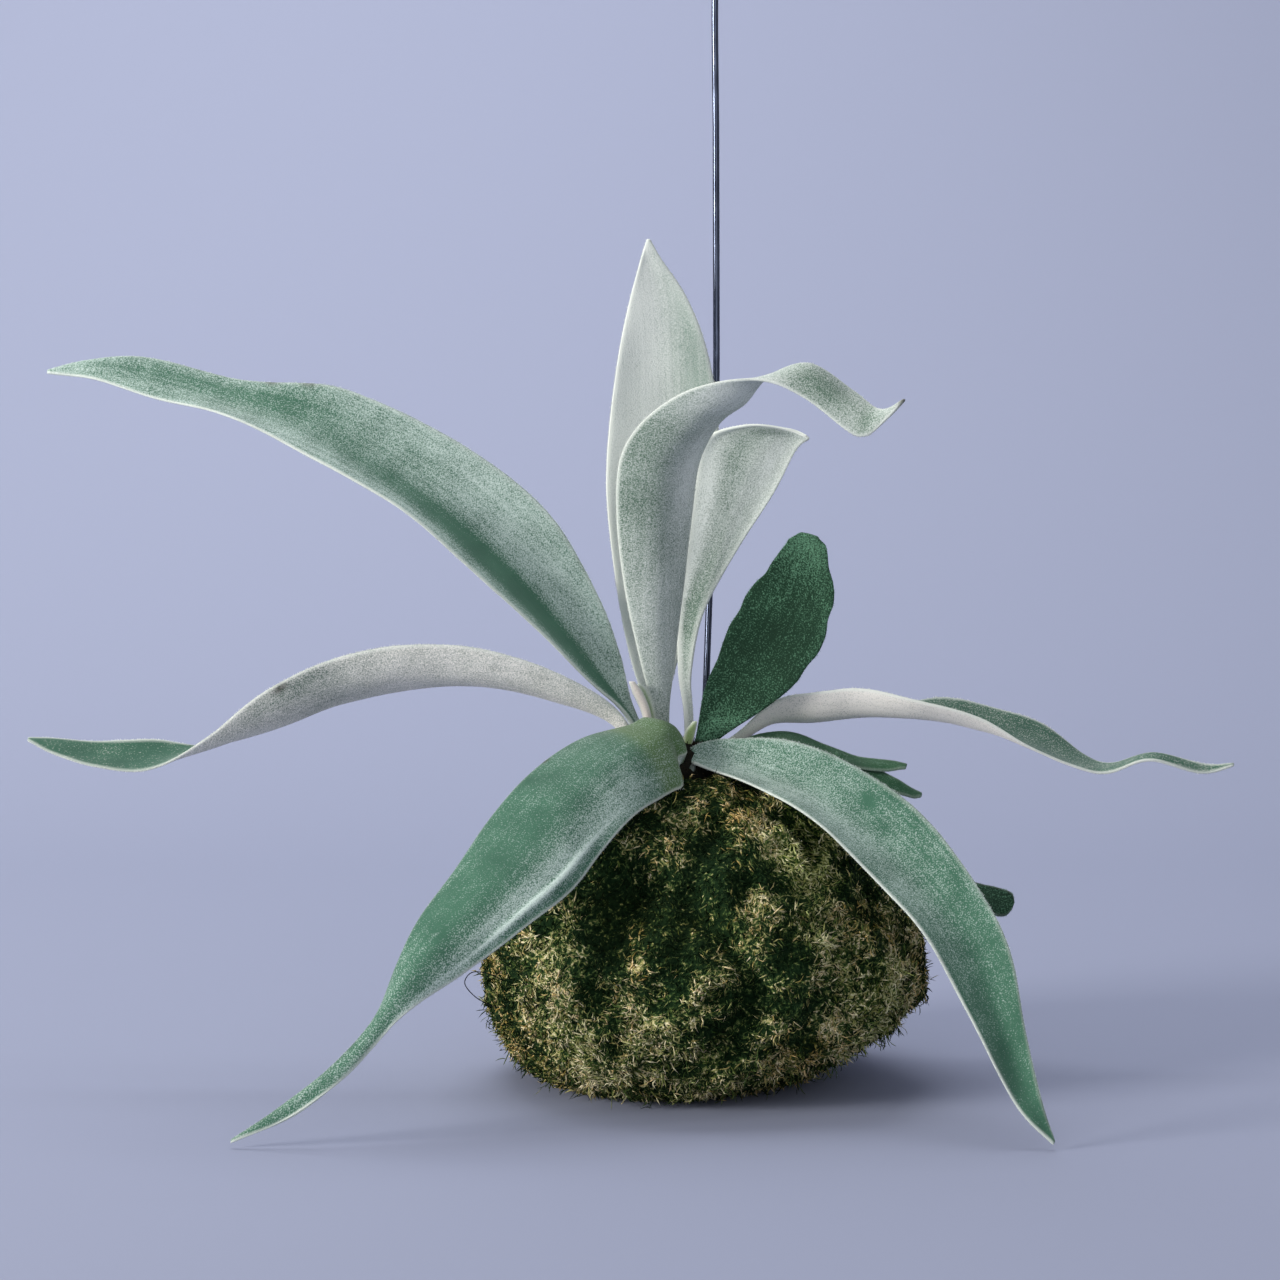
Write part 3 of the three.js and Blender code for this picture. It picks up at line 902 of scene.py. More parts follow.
    def blade(self, name: str, rungs: tuple[Rung, ...]) -> bpy.types.Object:
        """Shapes a grid into the blade, then thickens and smooths it.

        Args:
            name: the new object's name.
            rungs: the rungs of the blade or of its side finger.

        Returns:
            The blade, whose attributes share, side and upper say where each vertex lies.
        """
        bpy.ops.object.select_all(action="DESELECT")
        bpy.ops.mesh.primitive_grid_add(x_subdivisions=self.across, y_subdivisions=self.steps * self.FINER,
                                        size=2)
        obj = bpy.context.object
        obj.name = name
        flat = places(obj) * MM
        side = flat[:, 0]
        share = (flat[:, 1] + 1) / 2
        put_places(obj, self.surface(rungs, share, side))
        thick = self.thickness(share, side)
        group = obj.vertex_groups.new(name="thickness")
        for index, weight in enumerate(thick / thick.max()):
            group.add([index], float(weight), "REPLACE")
        write_values(obj, "share", share)
        write_values(obj, "side", side)

        # Three empty material slots tell the faces of both sides and of the rim apart until they are marked
        for _ in (self.OUT_SLOT, self.BACK_SLOT, self.RIM_SLOT):
            obj.data.materials.append(None)
        finish_with(obj, "SOLIDIFY", thickness=thick.max() * MM, offset=0.0, vertex_group="thickness",
                    material_offset=self.BACK_SLOT, material_offset_rim=self.RIM_SLOT)
        self.mark_faces(obj)
        finish_with(obj, "SUBSURF", levels=1, render_levels=1)
        return obj

    def mark_faces(self, obj: bpy.types.Object) -> None:
        """Writes upper for each vertex: 1 on the upper face, 0 on the under face and half at the rim.

        Args:
            obj: the blade, whose faces still have the three material slots.
        """
        mesh = obj.data
        upper = np.full(len(mesh.vertices), 0.5)
        for polygon in mesh.polygons:
            if polygon.material_index != self.RIM_SLOT:
                is_out = polygon.material_index == self.OUT_SLOT
                upper[list(polygon.vertices)] = float(is_out == self.out_is_upper)
        write_values(obj, "upper", upper)
        mesh.polygons.foreach_set("material_index", np.zeros(len(mesh.polygons), np.int32))

    def dress(self, obj: bpy.types.Object, rungs: tuple[Rung, ...]) -> None:
        """Writes the coats of felt and colour, the pale rim and the blade's own map in millimetres.

        Args:
            obj: the blade.
            rungs: the rungs that it was shaped by.
        """
        share, side, upper = (read_values(obj, name) for name in ("share", "side", "upper"))
        table = np.array(rungs, float)
        half = np.linalg.norm(spline(table[:, 3:6], share) - spline(table[:, 0:3], share), axis=1) / 2
        coats = {coat: np.zeros(len(share)) for coat in Coat}
        coats[Coat.FELT] += self.under_felt + (self.upper_felt - self.under_felt) * upper
        for patch in self.patches:
            coats[patch.coat] += patch.weight(share, side, upper)
        for coat, amount in coats.items():
            write_values(obj, coat.value, np.clip(amount, coat.least, 1))
        from_rim = (1 - np.abs(side)) * half
        amount = np.where(side < 0, *self.pale_rims)
        rim = amount * smoothstep(self.rim_width, 0, from_rim) * smoothstep(*self.RIM_START, share)
        write_values(obj, "rim", rim)
        mesh = obj.data
        while mesh.uv_layers:
            mesh.uv_layers.remove(mesh.uv_layers[0])
        layer = mesh.uv_layers.new(name="blade_mm")
        corners = np.zeros(len(mesh.loops), np.int32)
        mesh.loops.foreach_get("vertex_index", corners)
        spread = np.stack([side * half, share * self.edge_length(rungs)], 1)
        layer.data.foreach_set("uv", spread[corners].ravel())

    def fuzz(self, obj: bpy.types.Object, rungs: tuple[Rung, ...],
             rng: np.random.Generator) -> bpy.types.Object:
        """Short white hairs that stand out from both rims.

        Args:
            obj: the blade that the hairs grow on.
            rungs: the rungs that it was shaped by.
            rng: the source of its random draws.

        Returns:
            The hairs as one mesh, with the attributes of full felt.
        """
        count = int(2 * self.edge_length(rungs) / self.FUZZ_GAP)
        share = rng.uniform(*self.FUZZ_SHARES, count)
        side = rng.choice([-1.0, 1.0], count)
        rim = self.surface(rungs, share, side)
        outward = unit(rim - self.surface(rungs, share, side * self.FUZZ_INSIDE))
        headings = unit(outward + rng.normal(0, self.FUZZ_SPREAD, (count, 3)))
        lengths = self.FUZZ_LENGTH * rng.uniform(*self.FUZZ_RANGE, count)
        widths = np.full(count, self.FUZZ_WIDTH)
        hairs = Strands(rim - outward * self.FUZZ_DEPTH, headings, np.zeros((count, 3)), lengths, widths,
                        joints=1)
        piece = hairs.build(obj.name + "_fuzz")
        amount = np.where(side < 0, *self.pale_rims)
        none = np.zeros(count)
        for name, values in (("felt", none + 1), ("rim", amount), ("olive", none), ("brown", none)):
            write_values(piece, name, hairs.spread(values))
        piece.data.uv_layers.new(name="blade_mm")
        return piece

    def build(self, rng: np.random.Generator) -> bpy.types.Object:
        """Builds the frond with its rim hairs, and puts it in the place of its solid.

        Args:
            rng: the source of its random draws.

        Returns:
            The finished frond.
        """
        parts = []
        for rungs in filter(None, (self.rungs, self.side_rungs)):
            blade = self.blade(self.name + "_leaf", rungs)
            self.dress(blade, rungs)
            parts += [blade, self.fuzz(blade, rungs, rng)]
        bpy.ops.object.select_all(action="DESELECT")
        for part in parts:
            part.select_set(True)
        bpy.context.view_layer.objects.active = parts[0]
        bpy.ops.object.join()
        obj = parts[0]
        paint(obj, self.finish.material())
        bpy.ops.object.shade_smooth()
        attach(obj, "root")
        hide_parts(self.name)
        return obj


@dataclass(frozen=True)
class Furrow:
    """A furrow where two sheets of moss meet: its bearing in degrees, half width, depth and heights."""

    bearing: float
    half_width: float
    depth: float
    low: float
    high: float


# Painted light and shade on the moss: the spots below 0 are painted shadows of fronds and painted shade in
# hollows and under the crown, and those above 0 are painted light on lit lumps and at the foot of the ball.
@dataclass(frozen=True)
class PaintedShadeAndLightSpot:
    """A spot where the moss is paler, or darker where tone is below 0. Degrees and millimetres."""

    bearing: float
    height: float
    half_width: float
    half_height: float
    tone: float


@dataclass(frozen=True)
class StrandCoat:
    """One sowing of moss strands on the ball. Millimetres and degrees."""

    name: str
    layer: Layer
    count: int
    length: Pair
    width: Pair
    lift: Pair
    tone: Pair
    living: float
    curl: float = 0.8
    joints: int = 2
    branches: int = 0


@dataclass
class MossBall:
    """The jacket of wild moss: a finer shell on the same form as the solid, sown with strands."""

    slices: tuple[Triple, ...]
    furrows: tuple[Furrow, ...]
    spots: tuple[PaintedShadeAndLightSpot, ...]
    coats: tuple[StrandCoat, ...]
    middle: Triple = (5.0, 0.0, 44.0)
    wall: float = 9.0
    lump_size: float = 21.0
    lump_height: float = 3.8
    tuft_size: float = 9.0
    tuft_height: float = 3.8
    furrow_end: float = 12.0
    furrow_wander: float = 0.14
    mouth: float = 15.0
    sectors: int = 224
    rows: int = 104

    # Heights, depths and sizes are in millimetres, and tones are parts of the way from gap to tip. A pair
    # called range or start is where a change begins and where it is full
    LOWEST_ROOT = 0.8
    LOWEST_TIP = 0.3
    FROND_HEIGHT = 40
    TUCK_HEIGHT = 60
    TUCK_GAP = 0.4
    ROOT_DEPTH = 0.4
    TIP_DROOP = 0.25
    PATH_POINTS = 1200
    INNER_STEP = 6
    LIP_DROPS = ((0.2, 1.5), (0.3, -1))
    WELD = 0.02
    RELIEF_START, FINE_START, MOUTH_FADE = (1, 12), (0.5, 6), 6
    LUMP_RANGE = (-2.5, 2.5)
    OUTLINE_RANGE = (46, 6)
    FLOW_SIZE = 13
    FLOW_TURN = 4.0
    FLOW_SPREAD = 1.4
    RELIEF_SHADE_AND_LIGHT = 0.035
    TUFT_TONES = ((3.2, 0.4), (6.5, 0.45), (12.0, 0.15))
    SOWN_RANGE = (-0.5, 0.25)
    FEWEST = 0.9
    FEWEST_WHISKERS = 0.2
    LIVING_SIZE = 17
    STRAND_LIVING = 0.35
    SHELL_LIVING = (0.1, 0.7)
    DARKEST_STRAND = 0.12
    SHELL_TONE = 0.2
    SHELL_TONES = (0.08, 0.34)
    FARTHEST_BACK = 67.5
    FINE_BUMPS = ((5.5, 1.0), (2.6, 0.7))

    def profile(self) -> Array:
        """Finds the smooth ball's outline.

        Returns:
            Radius and height of its points from the bottom to the top.
        """
        corners = np.array([(radius, height) for height, radius, _ in self.slices])
        fine = spline(corners, np.linspace(0, 1, self.PATH_POINTS), centripetal=True)
        run = np.concatenate([[0], np.cumsum(np.linalg.norm(np.diff(fine, axis=0), axis=1))])
        even = np.linspace(0, run[-1], self.rows)
        return np.stack([np.interp(even, run, np.maximum(fine[:, axis], 0)) for axis in (0, 1)], 1)

    def shift(self, heights: Array) -> Array:
        """How far the middle of the slice at each height lies to the right."""
        table = np.array(self.slices)
        return np.interp(heights, table[:, 0], table[:, 2])

    def away(self, points: Array, bearing: float, wander: Array | float = 0.0) -> Array:
        """How far round the ball places lie from a bearing.

        Args:
            points: places in millimetres, one to a row.
            bearing: where to measure from, in degrees.
            wander: how far that bearing wanders at each place, in radians.

        Returns:
            Millimetres along the ball's girth, below 0 on one side.
        """
        across = points[:, 0] - self.middle[0]
        turn = np.arctan2(points[:, 1], across) - math.radians(bearing) - wander
        return np.arctan2(np.sin(turn), np.cos(turn)) * np.hypot(across, points[:, 1])

    def relief(self, points: Array) -> Array:
        """Adds up the ball's lumps, tufts and furrows.

        Args:
            points: places in millimetres, one to a row.

        Returns:
            Its height above the smooth ball, below 0 in the furrows.
        """
        furrow = np.zeros(len(points))
        for cut in self.furrows:
            wander = self.furrow_wander * np.sin(points[:, 2] / self.tuft_size + cut.bearing)
            away = self.away(points, cut.bearing, wander)
            span = smoothstep(cut.low, cut.low + self.furrow_end, points[:, 2])
            span *= smoothstep(cut.high, cut.high - self.furrow_end, points[:, 2])
            furrow -= cut.depth * span * np.exp(-((away / cut.half_width) ** 2))
        tuft = self.tuft_height * (0.5 - np.abs(lattice_noise(points, self.tuft_size)))
        lumps = self.lump_height * lattice_noise(points, self.lump_size)
        return smoothstep(*self.RELIEF_START, points[:, 2]) * (lumps + tuft + furrow)

    def tone(self, points: Array) -> Array:
        """Finds how pale the moss is: paler on lumps and tufts, darker in gaps.

        Args:
            points: places in millimetres, one to a row.

        Returns:
            One tone for each place, below 0 where it is darker.
        """
        # Painted light and shade: the tone rises on the lumps and falls in the furrows, and the spots add
        # painted shadows and painted light.
        tone = self.RELIEF_SHADE_AND_LIGHT * self.relief(points)
        tone += sum(amount * lattice_noise(points, size) for size, amount in self.TUFT_TONES)
        for spot in self.spots:
            away = self.away(points, spot.bearing) / spot.half_width
            tone += spot.tone * np.exp(-(away ** 2) - ((points[:, 2] - spot.height) / spot.half_height) ** 2)
        return tone

    def shell(self) -> bpy.types.Object:
        """Turns the outline and an inner wall into a closed shell, and raises the moss's relief on it.

        Returns:
            The shell, with the attribute relief.
        """
        outer = self.profile()
        outer = outer[: np.argmax((outer[:, 1] > self.middle[2]) & (outer[:, 0] < self.mouth))]
        top = outer[-1, 1]
        inner = outer[::self.INNER_STEP][::-1]
        height = self.slices[-1][0]
        widest = max(radius for _, radius, _ in self.slices)
        shrunk = np.stack([inner[:, 0] * (1 - self.wall / widest),
                           height / 2 + (inner[:, 1] - height / 2) * (1 - 2 * self.wall / height)], 1)
        shrunk = shrunk[shrunk[:, 0] < widest]
        lip = [[self.mouth - inset, height - drop]
               for (inset, drop), height in zip(self.LIP_DROPS, (top, shrunk[0, 1]))]
        line = np.vstack([[[0.0, 0.0]], outer[1:], lip, shrunk[1:-1], [[0.0, shrunk[-1, 1]]]])
        mesh = bpy.data.meshes.new("moss_jacket_shell")
        edges = [(k, k + 1) for k in range(len(line) - 1)]
        mesh.from_pydata([(x * MM, 0, z * MM) for x, z in line], edges, [])
        obj = add_object("moss_jacket_shell", mesh)
        write_values(obj, "outside", np.arange(len(line)) < len(outer))
        finish_with(obj, "SCREW", steps=self.sectors, render_steps=self.sectors, use_merge_vertices=True,
                    merge_threshold=self.WELD * MM, use_smooth_shade=True)
        edit_mesh("SELECT")
        bpy.ops.mesh.normals_make_consistent(inside=False)
        bpy.ops.object.mode_set(mode="OBJECT")
        points = places(obj)
        outside = read_values(obj, "outside") > 0.5
        points[:, 0] += self.shift(points[:, 2])
        relief = self.relief(points) * outside
        from_axis = np.hypot(points[:, 0], points[:, 1])
        near = smoothstep(self.mouth, self.mouth + self.MOUTH_FADE, from_axis)
        near += points[:, 2] < self.TUCK_HEIGHT
        relief *= np.clip(near, 0, 1)
        fine = sum(height * lattice_noise(points, size) for size, height in self.FINE_BUMPS)
        fine *= outside * smoothstep(*self.FINE_START, points[:, 2])
        points += unit(points - np.array(self.middle)) * (relief + fine)[:, None]
        points[:, 2] = np.maximum(points[:, 2], 0)
        put_places(obj, points)
        write_values(obj, "relief", relief)
        return obj

    def tuck(self, obj: bpy.types.Object, fronds: BVHTree) -> None:
        """Presses the moss down where a frond lies on it.

        Args:
            obj: the shell.
            fronds: the fronds as a search tree, in metres.
        """
        points = places(obj)
        middle = np.array(self.middle)
        for index in np.flatnonzero(points[:, 2] > self.TUCK_HEIGHT):
            start, way = Vector(middle * MM), Vector(points[index] - middle)
            _, _, _, distance = fronds.ray_cast(start, way.normalized(), way.length * MM)
            if distance is not None:
                out = unit((points[index] - middle)[None])[0]
                points[index] = middle + out * (distance / MM - self.TUCK_GAP)
        put_places(obj, points)

    def sow(self, coat: StrandCoat, shell: bpy.types.Object, rng: np.random.Generator) -> Strands:
        """Sows one coat of strands on the shell.

        Args:
            coat: what is sown.
            shell: the jacket's shell.
            rng: the source of its random draws.

        Returns:
            The strands, rooted in the shell.
        """
        mesh = shell.data
        mesh.calc_loop_triangles()
        corners = np.zeros(len(mesh.loop_triangles) * 3, np.int32)
        mesh.loop_triangles.foreach_get("vertices", corners)
        corners = corners.reshape(-1, 3)
        points = places(shell)
        outside = read_values(shell, "outside") > 0.5
        relief = read_values(shell, "relief")[corners].mean(1)
        a, b, c = (points[corners[:, k]] for k in range(3))
        cross = np.cross(b - a, c - a)
        heights = (a + b + c)[:, 2] / 3
        weight = np.linalg.norm(cross, axis=1) * outside[corners].all(1) * (heights > self.LOWEST_ROOT)
        # Fewer strands grow where the tone is low, so that the dark shell shows through in the painted shade.
        if coat.layer is not Layer.OUTLINE:
            tone = self.tone((a + b + c) / 3)
            weight = weight * (self.FEWEST + smoothstep(*self.SOWN_RANGE, tone))
        # The pale straw strands go mostly on the lumps: dry straw, and also painted light on the lit lumps.
        if coat.layer is Layer.LUMPS:
            weight = weight * smoothstep(*self.LUMP_RANGE, relief)
        if coat.layer is Layer.OUTLINE:
            weight = weight * (self.FEWEST_WHISKERS + smoothstep(*self.OUTLINE_RANGE, heights))
        rows = rng.choice(len(corners), coat.count, p=weight / weight.sum())
        mix = rng.dirichlet((1, 1, 1), coat.count)
        roots = sum(mix[:, k:k + 1] * points[corners[rows, k]] for k in range(3))
        normals = unit(unit(cross[rows]) + unit(roots - np.array(self.middle)))
        down = unit(np.array([[0.0, 0.0, -1.0]]) + normals * normals[:, 2:])
        sideways = np.cross(normals, down)
        flow = self.FLOW_TURN * lattice_noise(roots, self.FLOW_SIZE)
        flow += rng.normal(0, self.FLOW_SPREAD, coat.count)
        lift = np.radians(rng.uniform(*coat.lift, coat.count))
        tangent = down * np.cos(flow)[:, None] + sideways * np.sin(flow)[:, None]
        headings = unit(tangent * np.cos(lift)[:, None] + normals * np.sin(lift)[:, None])
        bends = rng.normal(0, coat.curl, (coat.count, 3)) - normals * self.TIP_DROOP * coat.curl
        lengths = rng.uniform(*coat.length, coat.count)
        widths = rng.uniform(*coat.width, coat.count)
        strands = Strands(roots - normals * self.ROOT_DEPTH, headings, bends, lengths, widths, coat.joints)
        return strands.branched(coat.branches, rng)

    def clear(self, strands: Strands, fronds: BVHTree) -> Array:
        """Finds the strands that stay above the resting surface and inside the box, and cross no frond.

        Args:
            strands: the strands that were sown.
            fronds: the fronds as a search tree, in metres.

        Returns:
            True for each strand that is kept.
        """
        line = strands.spine()
        good = (line[:, :, 2].min(1) > self.LOWEST_TIP) & (line[:, :, 1].max(1) < self.FARTHEST_BACK)
        for index in np.flatnonzero(good & (line[:, :, 2].max(1) > self.FROND_HEIGHT)):
            good[index] = not crosses(line[index], fronds)
        return good

    def build(self, fronds: BVHTree, rng: np.random.Generator) -> list[bpy.types.Object]:
        """Builds the shell and every coat of strands.

        Args:
            fronds: the fronds as a search tree, in metres.
            rng: the source of its random draws.

        Returns:
            The pieces of the jacket.
        """
        shell = self.shell()
        self.tuck(shell, fronds)
        spots = places(shell)
        # The shell stands for the matted moss under the strands, and its dark tone is also painted shade for
        # the depth between them.
        tone = self.SHELL_TONE + self.tone(spots) / 2
        write_values(shell, "tone", np.clip(tone, *self.SHELL_TONES))
        usual, spread = self.SHELL_LIVING
        write_values(shell, "living", usual + spread * lattice_noise(spots, self.LIVING_SIZE))
        paint(shell, MossFinish("matted moss", fibre_share=0.5).material())
        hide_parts("moss_jacket")
        pieces = [shell]
        for coat in self.coats:
            strands = self.sow(coat, shell, rng)
            strands = strands.keep(self.clear(strands, fronds))
            piece = strands.build(coat.name)
            roots = strands.roots
            tone = rng.uniform(*coat.tone, len(roots)) + self.tone(roots)
            living = coat.living + lattice_noise(roots, self.LIVING_SIZE)
            living += rng.normal(0, self.STRAND_LIVING, len(roots))
            write_values(piece, "tone", strands.spread(np.clip(tone, self.DARKEST_STRAND, 1)))
            write_values(piece, "living", strands.spread(np.clip(living, -1, 1)))
            paint(piece, MossFinish("wild moss fibre").material())
            pieces.append(piece)
        for piece in pieces:
            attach(piece, "root")
        return pieces


@dataclass
class Crown:
    """The fern's short stock: the solid with a scaly finish, and the brown hairs that cover it."""

    middle: Triple = (-1.0, 1.5, 89.0)
    radii: Triple = (13.5, 13.0, 9.5)
    hairs: int = 2600
    length: Pair = (1.1, 2.5)
    width: Pair = (0.16, 0.3)
    spread: float = 0.55
    bend: float = 0.7
    lowest: float = -0.1
    depth: float = 0.5

    def build(self, fronds: BVHTree, rng: np.random.Generator) -> list[bpy.types.Object]:
        """Dresses the solid stock and grows its hairs.

        Args:
            fronds: the fronds as a search tree, in metres.
            rng: the source of its random draws.

        Returns:
            The pieces of the crown.
        """
        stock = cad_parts["crown"]
        # Painted shade: the stock and its hairs are drawn nearly black, dark brown scales and also the shade
        # deep in the middle of the crown.
        paint(stock, EarthFinish("fern stock scales in painted shade", dark="0c0d09", pale="2a281c", crumb_mm=1.2).material())
        ways = unit(rng.normal(0, 1, (self.hairs, 3)))
        ways = ways[ways[:, 2] > self.lowest]
        roots = np.array(self.middle) + ways * np.array(self.radii)
        count = len(roots)
        headings = unit(ways + rng.normal(0, self.spread, (count, 3)))
        strands = Strands(roots - ways * self.depth, headings, rng.normal(0, self.bend, (count, 3)),
                          rng.uniform(*self.length, count), rng.uniform(*self.width, count))
        free = np.array([not crosses(line, fronds) for line in strands.spine()])
        hairs = strands.keep(free).build("crown_hairs")
        paint(hairs, EarthFinish("fern stock hairs in painted shade", dark="17130c", pale="4d4429", crumb_mm=1.5).material())
        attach(hairs, "root")
        return [stock, hairs]


@dataclass
class SoilCore:
    """The ball of soil inside the moss: the solid as it is, with a crumbly finish."""

    def build(self) -> list[bpy.types.Object]:
        """Dresses the solid soil.

        Returns:
            The soil, in a list.
        """
        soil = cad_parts["soil_core"]
        paint(soil, EarthFinish("peat and bark soil", dark="160e09", pale="4a3524", crumb_mm=2.2).material())
        return [soil]


@dataclass
class HangerWire:
    """The stiff wire: a round rod along the route of the solid one, from its foot in the soil to its hook."""

    diameter: float = 2.0
    foot: tuple[Triple, ...] = ((-4, 4, 34), (3, 9, 32.5), (5.6, 12, 36))
    run: tuple[Triple, ...] = (
        (6.2, 13.5, 62), (7, 16, 88), (8.7, 21, 135), (10.5, 28, 184), (10.9, 30, 200), (10.9, 30.5, 222),
        (10.7, 30.5, 270), (10.6, 30.5, 318),
    )
    hook_radius: float = 7.0
    hook_turn: float = 1.25 * math.pi
    hook_points: int = 9
    steps: int = 240
    roundness: int = 4
    weld: float = 0.005
    sharp_angle: float = 40.0

    def route(self) -> Array:
        """Finds the wire's middle line.

        Returns:
            Its points from its foot to the end of its hook.
        """
        top = np.array(self.run[-1], float)
        turns = [self.hook_turn * k / self.hook_points for k in range(1, self.hook_points + 1)]
        hook = [top + self.hook_radius * np.array([1 - math.cos(turn), 0, math.sin(turn)]) for turn in turns]
        points = np.array([*self.foot, *self.run, *hook], float)
        return spline(points, np.linspace(0, 1, self.steps), centripetal=True)

    def build(self) -> list[bpy.types.Object]:
        """Sweeps a round section along the route.

        Returns:
            The wire, in a list.
        """
        curve = bpy.data.curves.new("hanger_wire_route", "CURVE")
        curve.dimensions = "3D"
        route = self.route()
        line = curve.splines.new("POLY")
        line.points.add(len(route) - 1)
        line.points.foreach_set("co", np.hstack([route * MM, np.ones((len(route), 1))]).ravel())
        curve.bevel_depth = self.diameter / 2 * MM
        curve.bevel_resolution = self.roundness
        curve.use_fill_caps = True
        pick(add_object("hanger_wire_rod", curve))
        bpy.ops.object.convert(target="MESH")
        wire = bpy.context.object
        edit_mesh("SELECT")
        bpy.ops.mesh.remove_doubles(threshold=self.weld * MM)
        bpy.ops.mesh.normals_make_consistent(inside=False)
        bpy.ops.object.mode_set(mode="OBJECT")
        bpy.ops.object.shade_smooth_by_angle(angle=math.radians(self.sharp_angle))
        paint(wire, SteelFinish("oiled black steel wire", dark="191d27", light="808aa2").material())
        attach(wire, "root")
        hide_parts("hanger_wire")
        return [wire]


@dataclass
class TieThread:
    """The loose end of the thin dark thread that ties the moss on, seen at the left of the ball."""

    diameter: float = 0.28
    route: tuple[Triple, ...] = (
        (-50, -24, 33), (-54, -27, 35.5), (-58.5, -28, 36), (-60.5, -28, 33), (-58, -28, 29.5),
        (-54.5, -27, 27), (-51, -25.5, 25.5),
    )
    steps: int = 40
    sides: int = 6

    def build(self) -> list[bpy.types.Object]:
        """Sweeps the thread's section along its route.

        Returns:
            The thread, in a list.
        """
        line = spline(np.array(self.route, float), np.linspace(0, 1, self.steps))
        ways = unit(np.gradient(line, axis=0))
        across = unit(np.cross(ways, [[0.0, 1.0, 0.0]]))
        upward = np.cross(ways, across)
        sides = self.sides
        turns = [2 * math.pi * k / sides for k in range(sides)]
        rings = [line + (across * math.cos(t) + upward * math.sin(t)) * self.diameter / 2 for t in turns]
        points = np.stack(rings, 1).reshape(-1, 3)
        triangles = []
        for start in range(0, (self.steps - 1) * sides, sides):
            for side in range(sides):
                a, b = start + side, start + (side + 1) % sides
                triangles += [(a, b, b + sides), (a, b + sides, a + sides)]
        last = (self.steps - 1) * sides
        triangles += [(0, k + 1, k) for k in range(1, sides - 1)]
        triangles += [(last, last + k, last + k + 1) for k in range(1, sides - 1)]
        thread = mesh_of("tie_thread", points, np.array(triangles))
        paint(thread, EarthFinish("waxed dark thread", dark="101216", pale="2b2e36", crumb_mm=0.6).material())
        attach(thread, "root")
        return [thread]


@dataclass
class Studio:
    """The camera at the photograph's angle, a pale sweep for floor and wall, and soft lights. Millimetres."""

    aim: Triple = (-11.4, 0.0, 127.0)
    distance: float = 1000.0
    look_down: float = 5.0
    lens: float = 98.44
    floor_front: float = 1500.0
    floor_back: float = 1200.0
    half_width: float = 2500.0
    wall_height: float = 2600.0
    sweep_radius: float = 800.0
    sweep_segments: int = 24
    near_clip: float = 50.0
    room_light: float = 0.42

    def camera(self) -> None:
        """Puts the camera on the photograph's line of sight."""
        angle = math.radians(self.look_down)
        back = Vector((0, -math.cos(angle), math.sin(angle)))
        bpy.ops.object.camera_add(location=(Vector(self.aim) + back * self.distance) * MM)
        camera = bpy.context.object
        camera.rotation_euler = (math.radians(90 - self.look_down), 0, 0)
        camera.data.lens = self.lens
        camera.data.clip_start = self.near_clip * MM
        bpy.context.scene.camera = camera

    def pick_floor_edge(self, sweep: bpy.types.Object) -> None:
        """Opens the sweep in edit mode with only the floor's back edge selected.

        Args:
            sweep: the sweep, which need not have its wall yet.
        """
        edit_mesh("DESELECT")
        bpy.ops.mesh.select_mode(type="EDGE")
        bpy.ops.object.mode_set(mode="OBJECT")
        for edge in sweep.data.edges:
            ends = [sweep.data.vertices[k].co for k in edge.vertices]
            edge.select = all(end.y > 0 and end.z < MM for end in ends)
        bpy.ops.object.mode_set(mode="EDIT")

    def sweep(self) -> None:
        """Raises the floor's back edge into a wall and rounds the corner between them."""
        bpy.ops.object.select_all(action="DESELECT")
        bpy.ops.mesh.primitive_plane_add(size=2)
        sweep = bpy.context.object
        sweep.name = "studio_sweep"
        flat = places(sweep) * MM
        flat[:, 0] *= self.half_width
        flat[:, 1] = np.where(flat[:, 1] > 0, self.floor_back, -self.floor_front)
        put_places(sweep, flat)
        self.pick_floor_edge(sweep)
        bpy.ops.mesh.extrude_region_move(TRANSFORM_OT_translate={"value": (0, 0, self.wall_height * MM)})
        self.pick_floor_edge(sweep)
        bpy.ops.mesh.bevel(offset=self.sweep_radius * MM, segments=self.sweep_segments, affect="EDGES")
        bpy.ops.object.mode_set(mode="OBJECT")
        bpy.ops.object.shade_smooth()
        paint(sweep, StudioFinish("pale lavender studio board", "9297ab").material())

    def light(self, name: str, at: Triple, size: float, power: float, colour: Triple,
              target: Triple | None = None) -> None:
        """Hangs a soft square light.

        Args:
            name: the light's name.
            at: its place in metres.
            size: its side in metres.
            power: its power in watts.
            colour: its linear colour.
            target: what it faces, in metres, or None for the plant.
        """
        bpy.ops.object.light_add(type="AREA", location=at)
        lamp = bpy.context.object
        lamp.name = name
        lamp.data.size = size
        lamp.data.energy = power
        lamp.data.color = colour
        way = (Vector(target) if target else Vector(self.aim) * MM) - Vector(at)
        lamp.rotation_euler = way.to_track_quat("-Z", "Y").to_euler()

    def build(self) -> None:
        """Sets up the camera, the sweep, the lights and the faint light from all round."""
        self.camera()
        self.sweep()
        self.light("window_left", (-1.5, -0.8, 0.5), size=0.55, power=34.0, colour=(1.0, 0.97, 0.93))
        self.light("fill_front", (0.3, -2.0, 0.6), size=1.6, power=9.0, colour=(0.97, 0.98, 1.0))
        self.light("floor_wash", (-0.2, 0.5, 1.3), size=1.0, power=14.0, colour=(0.97, 0.98, 1.0),
                   target=(-0.2, 0.5, 0.0))
        world = bpy.data.worlds.new("soft_room")
        world.use_nodes = True
        tree = world.node_tree
        tree.nodes.clear()
        glow = add_node(tree, "Background", {"Color": (0.86, 0.89, 1.0, 1.0), "Strength": self.room_light})
        add_node(tree, "OutputWorld", {"Surface": glow})
        bpy.context.scene.world = world
        bpy.context.scene.view_settings.view_transform = "Standard"


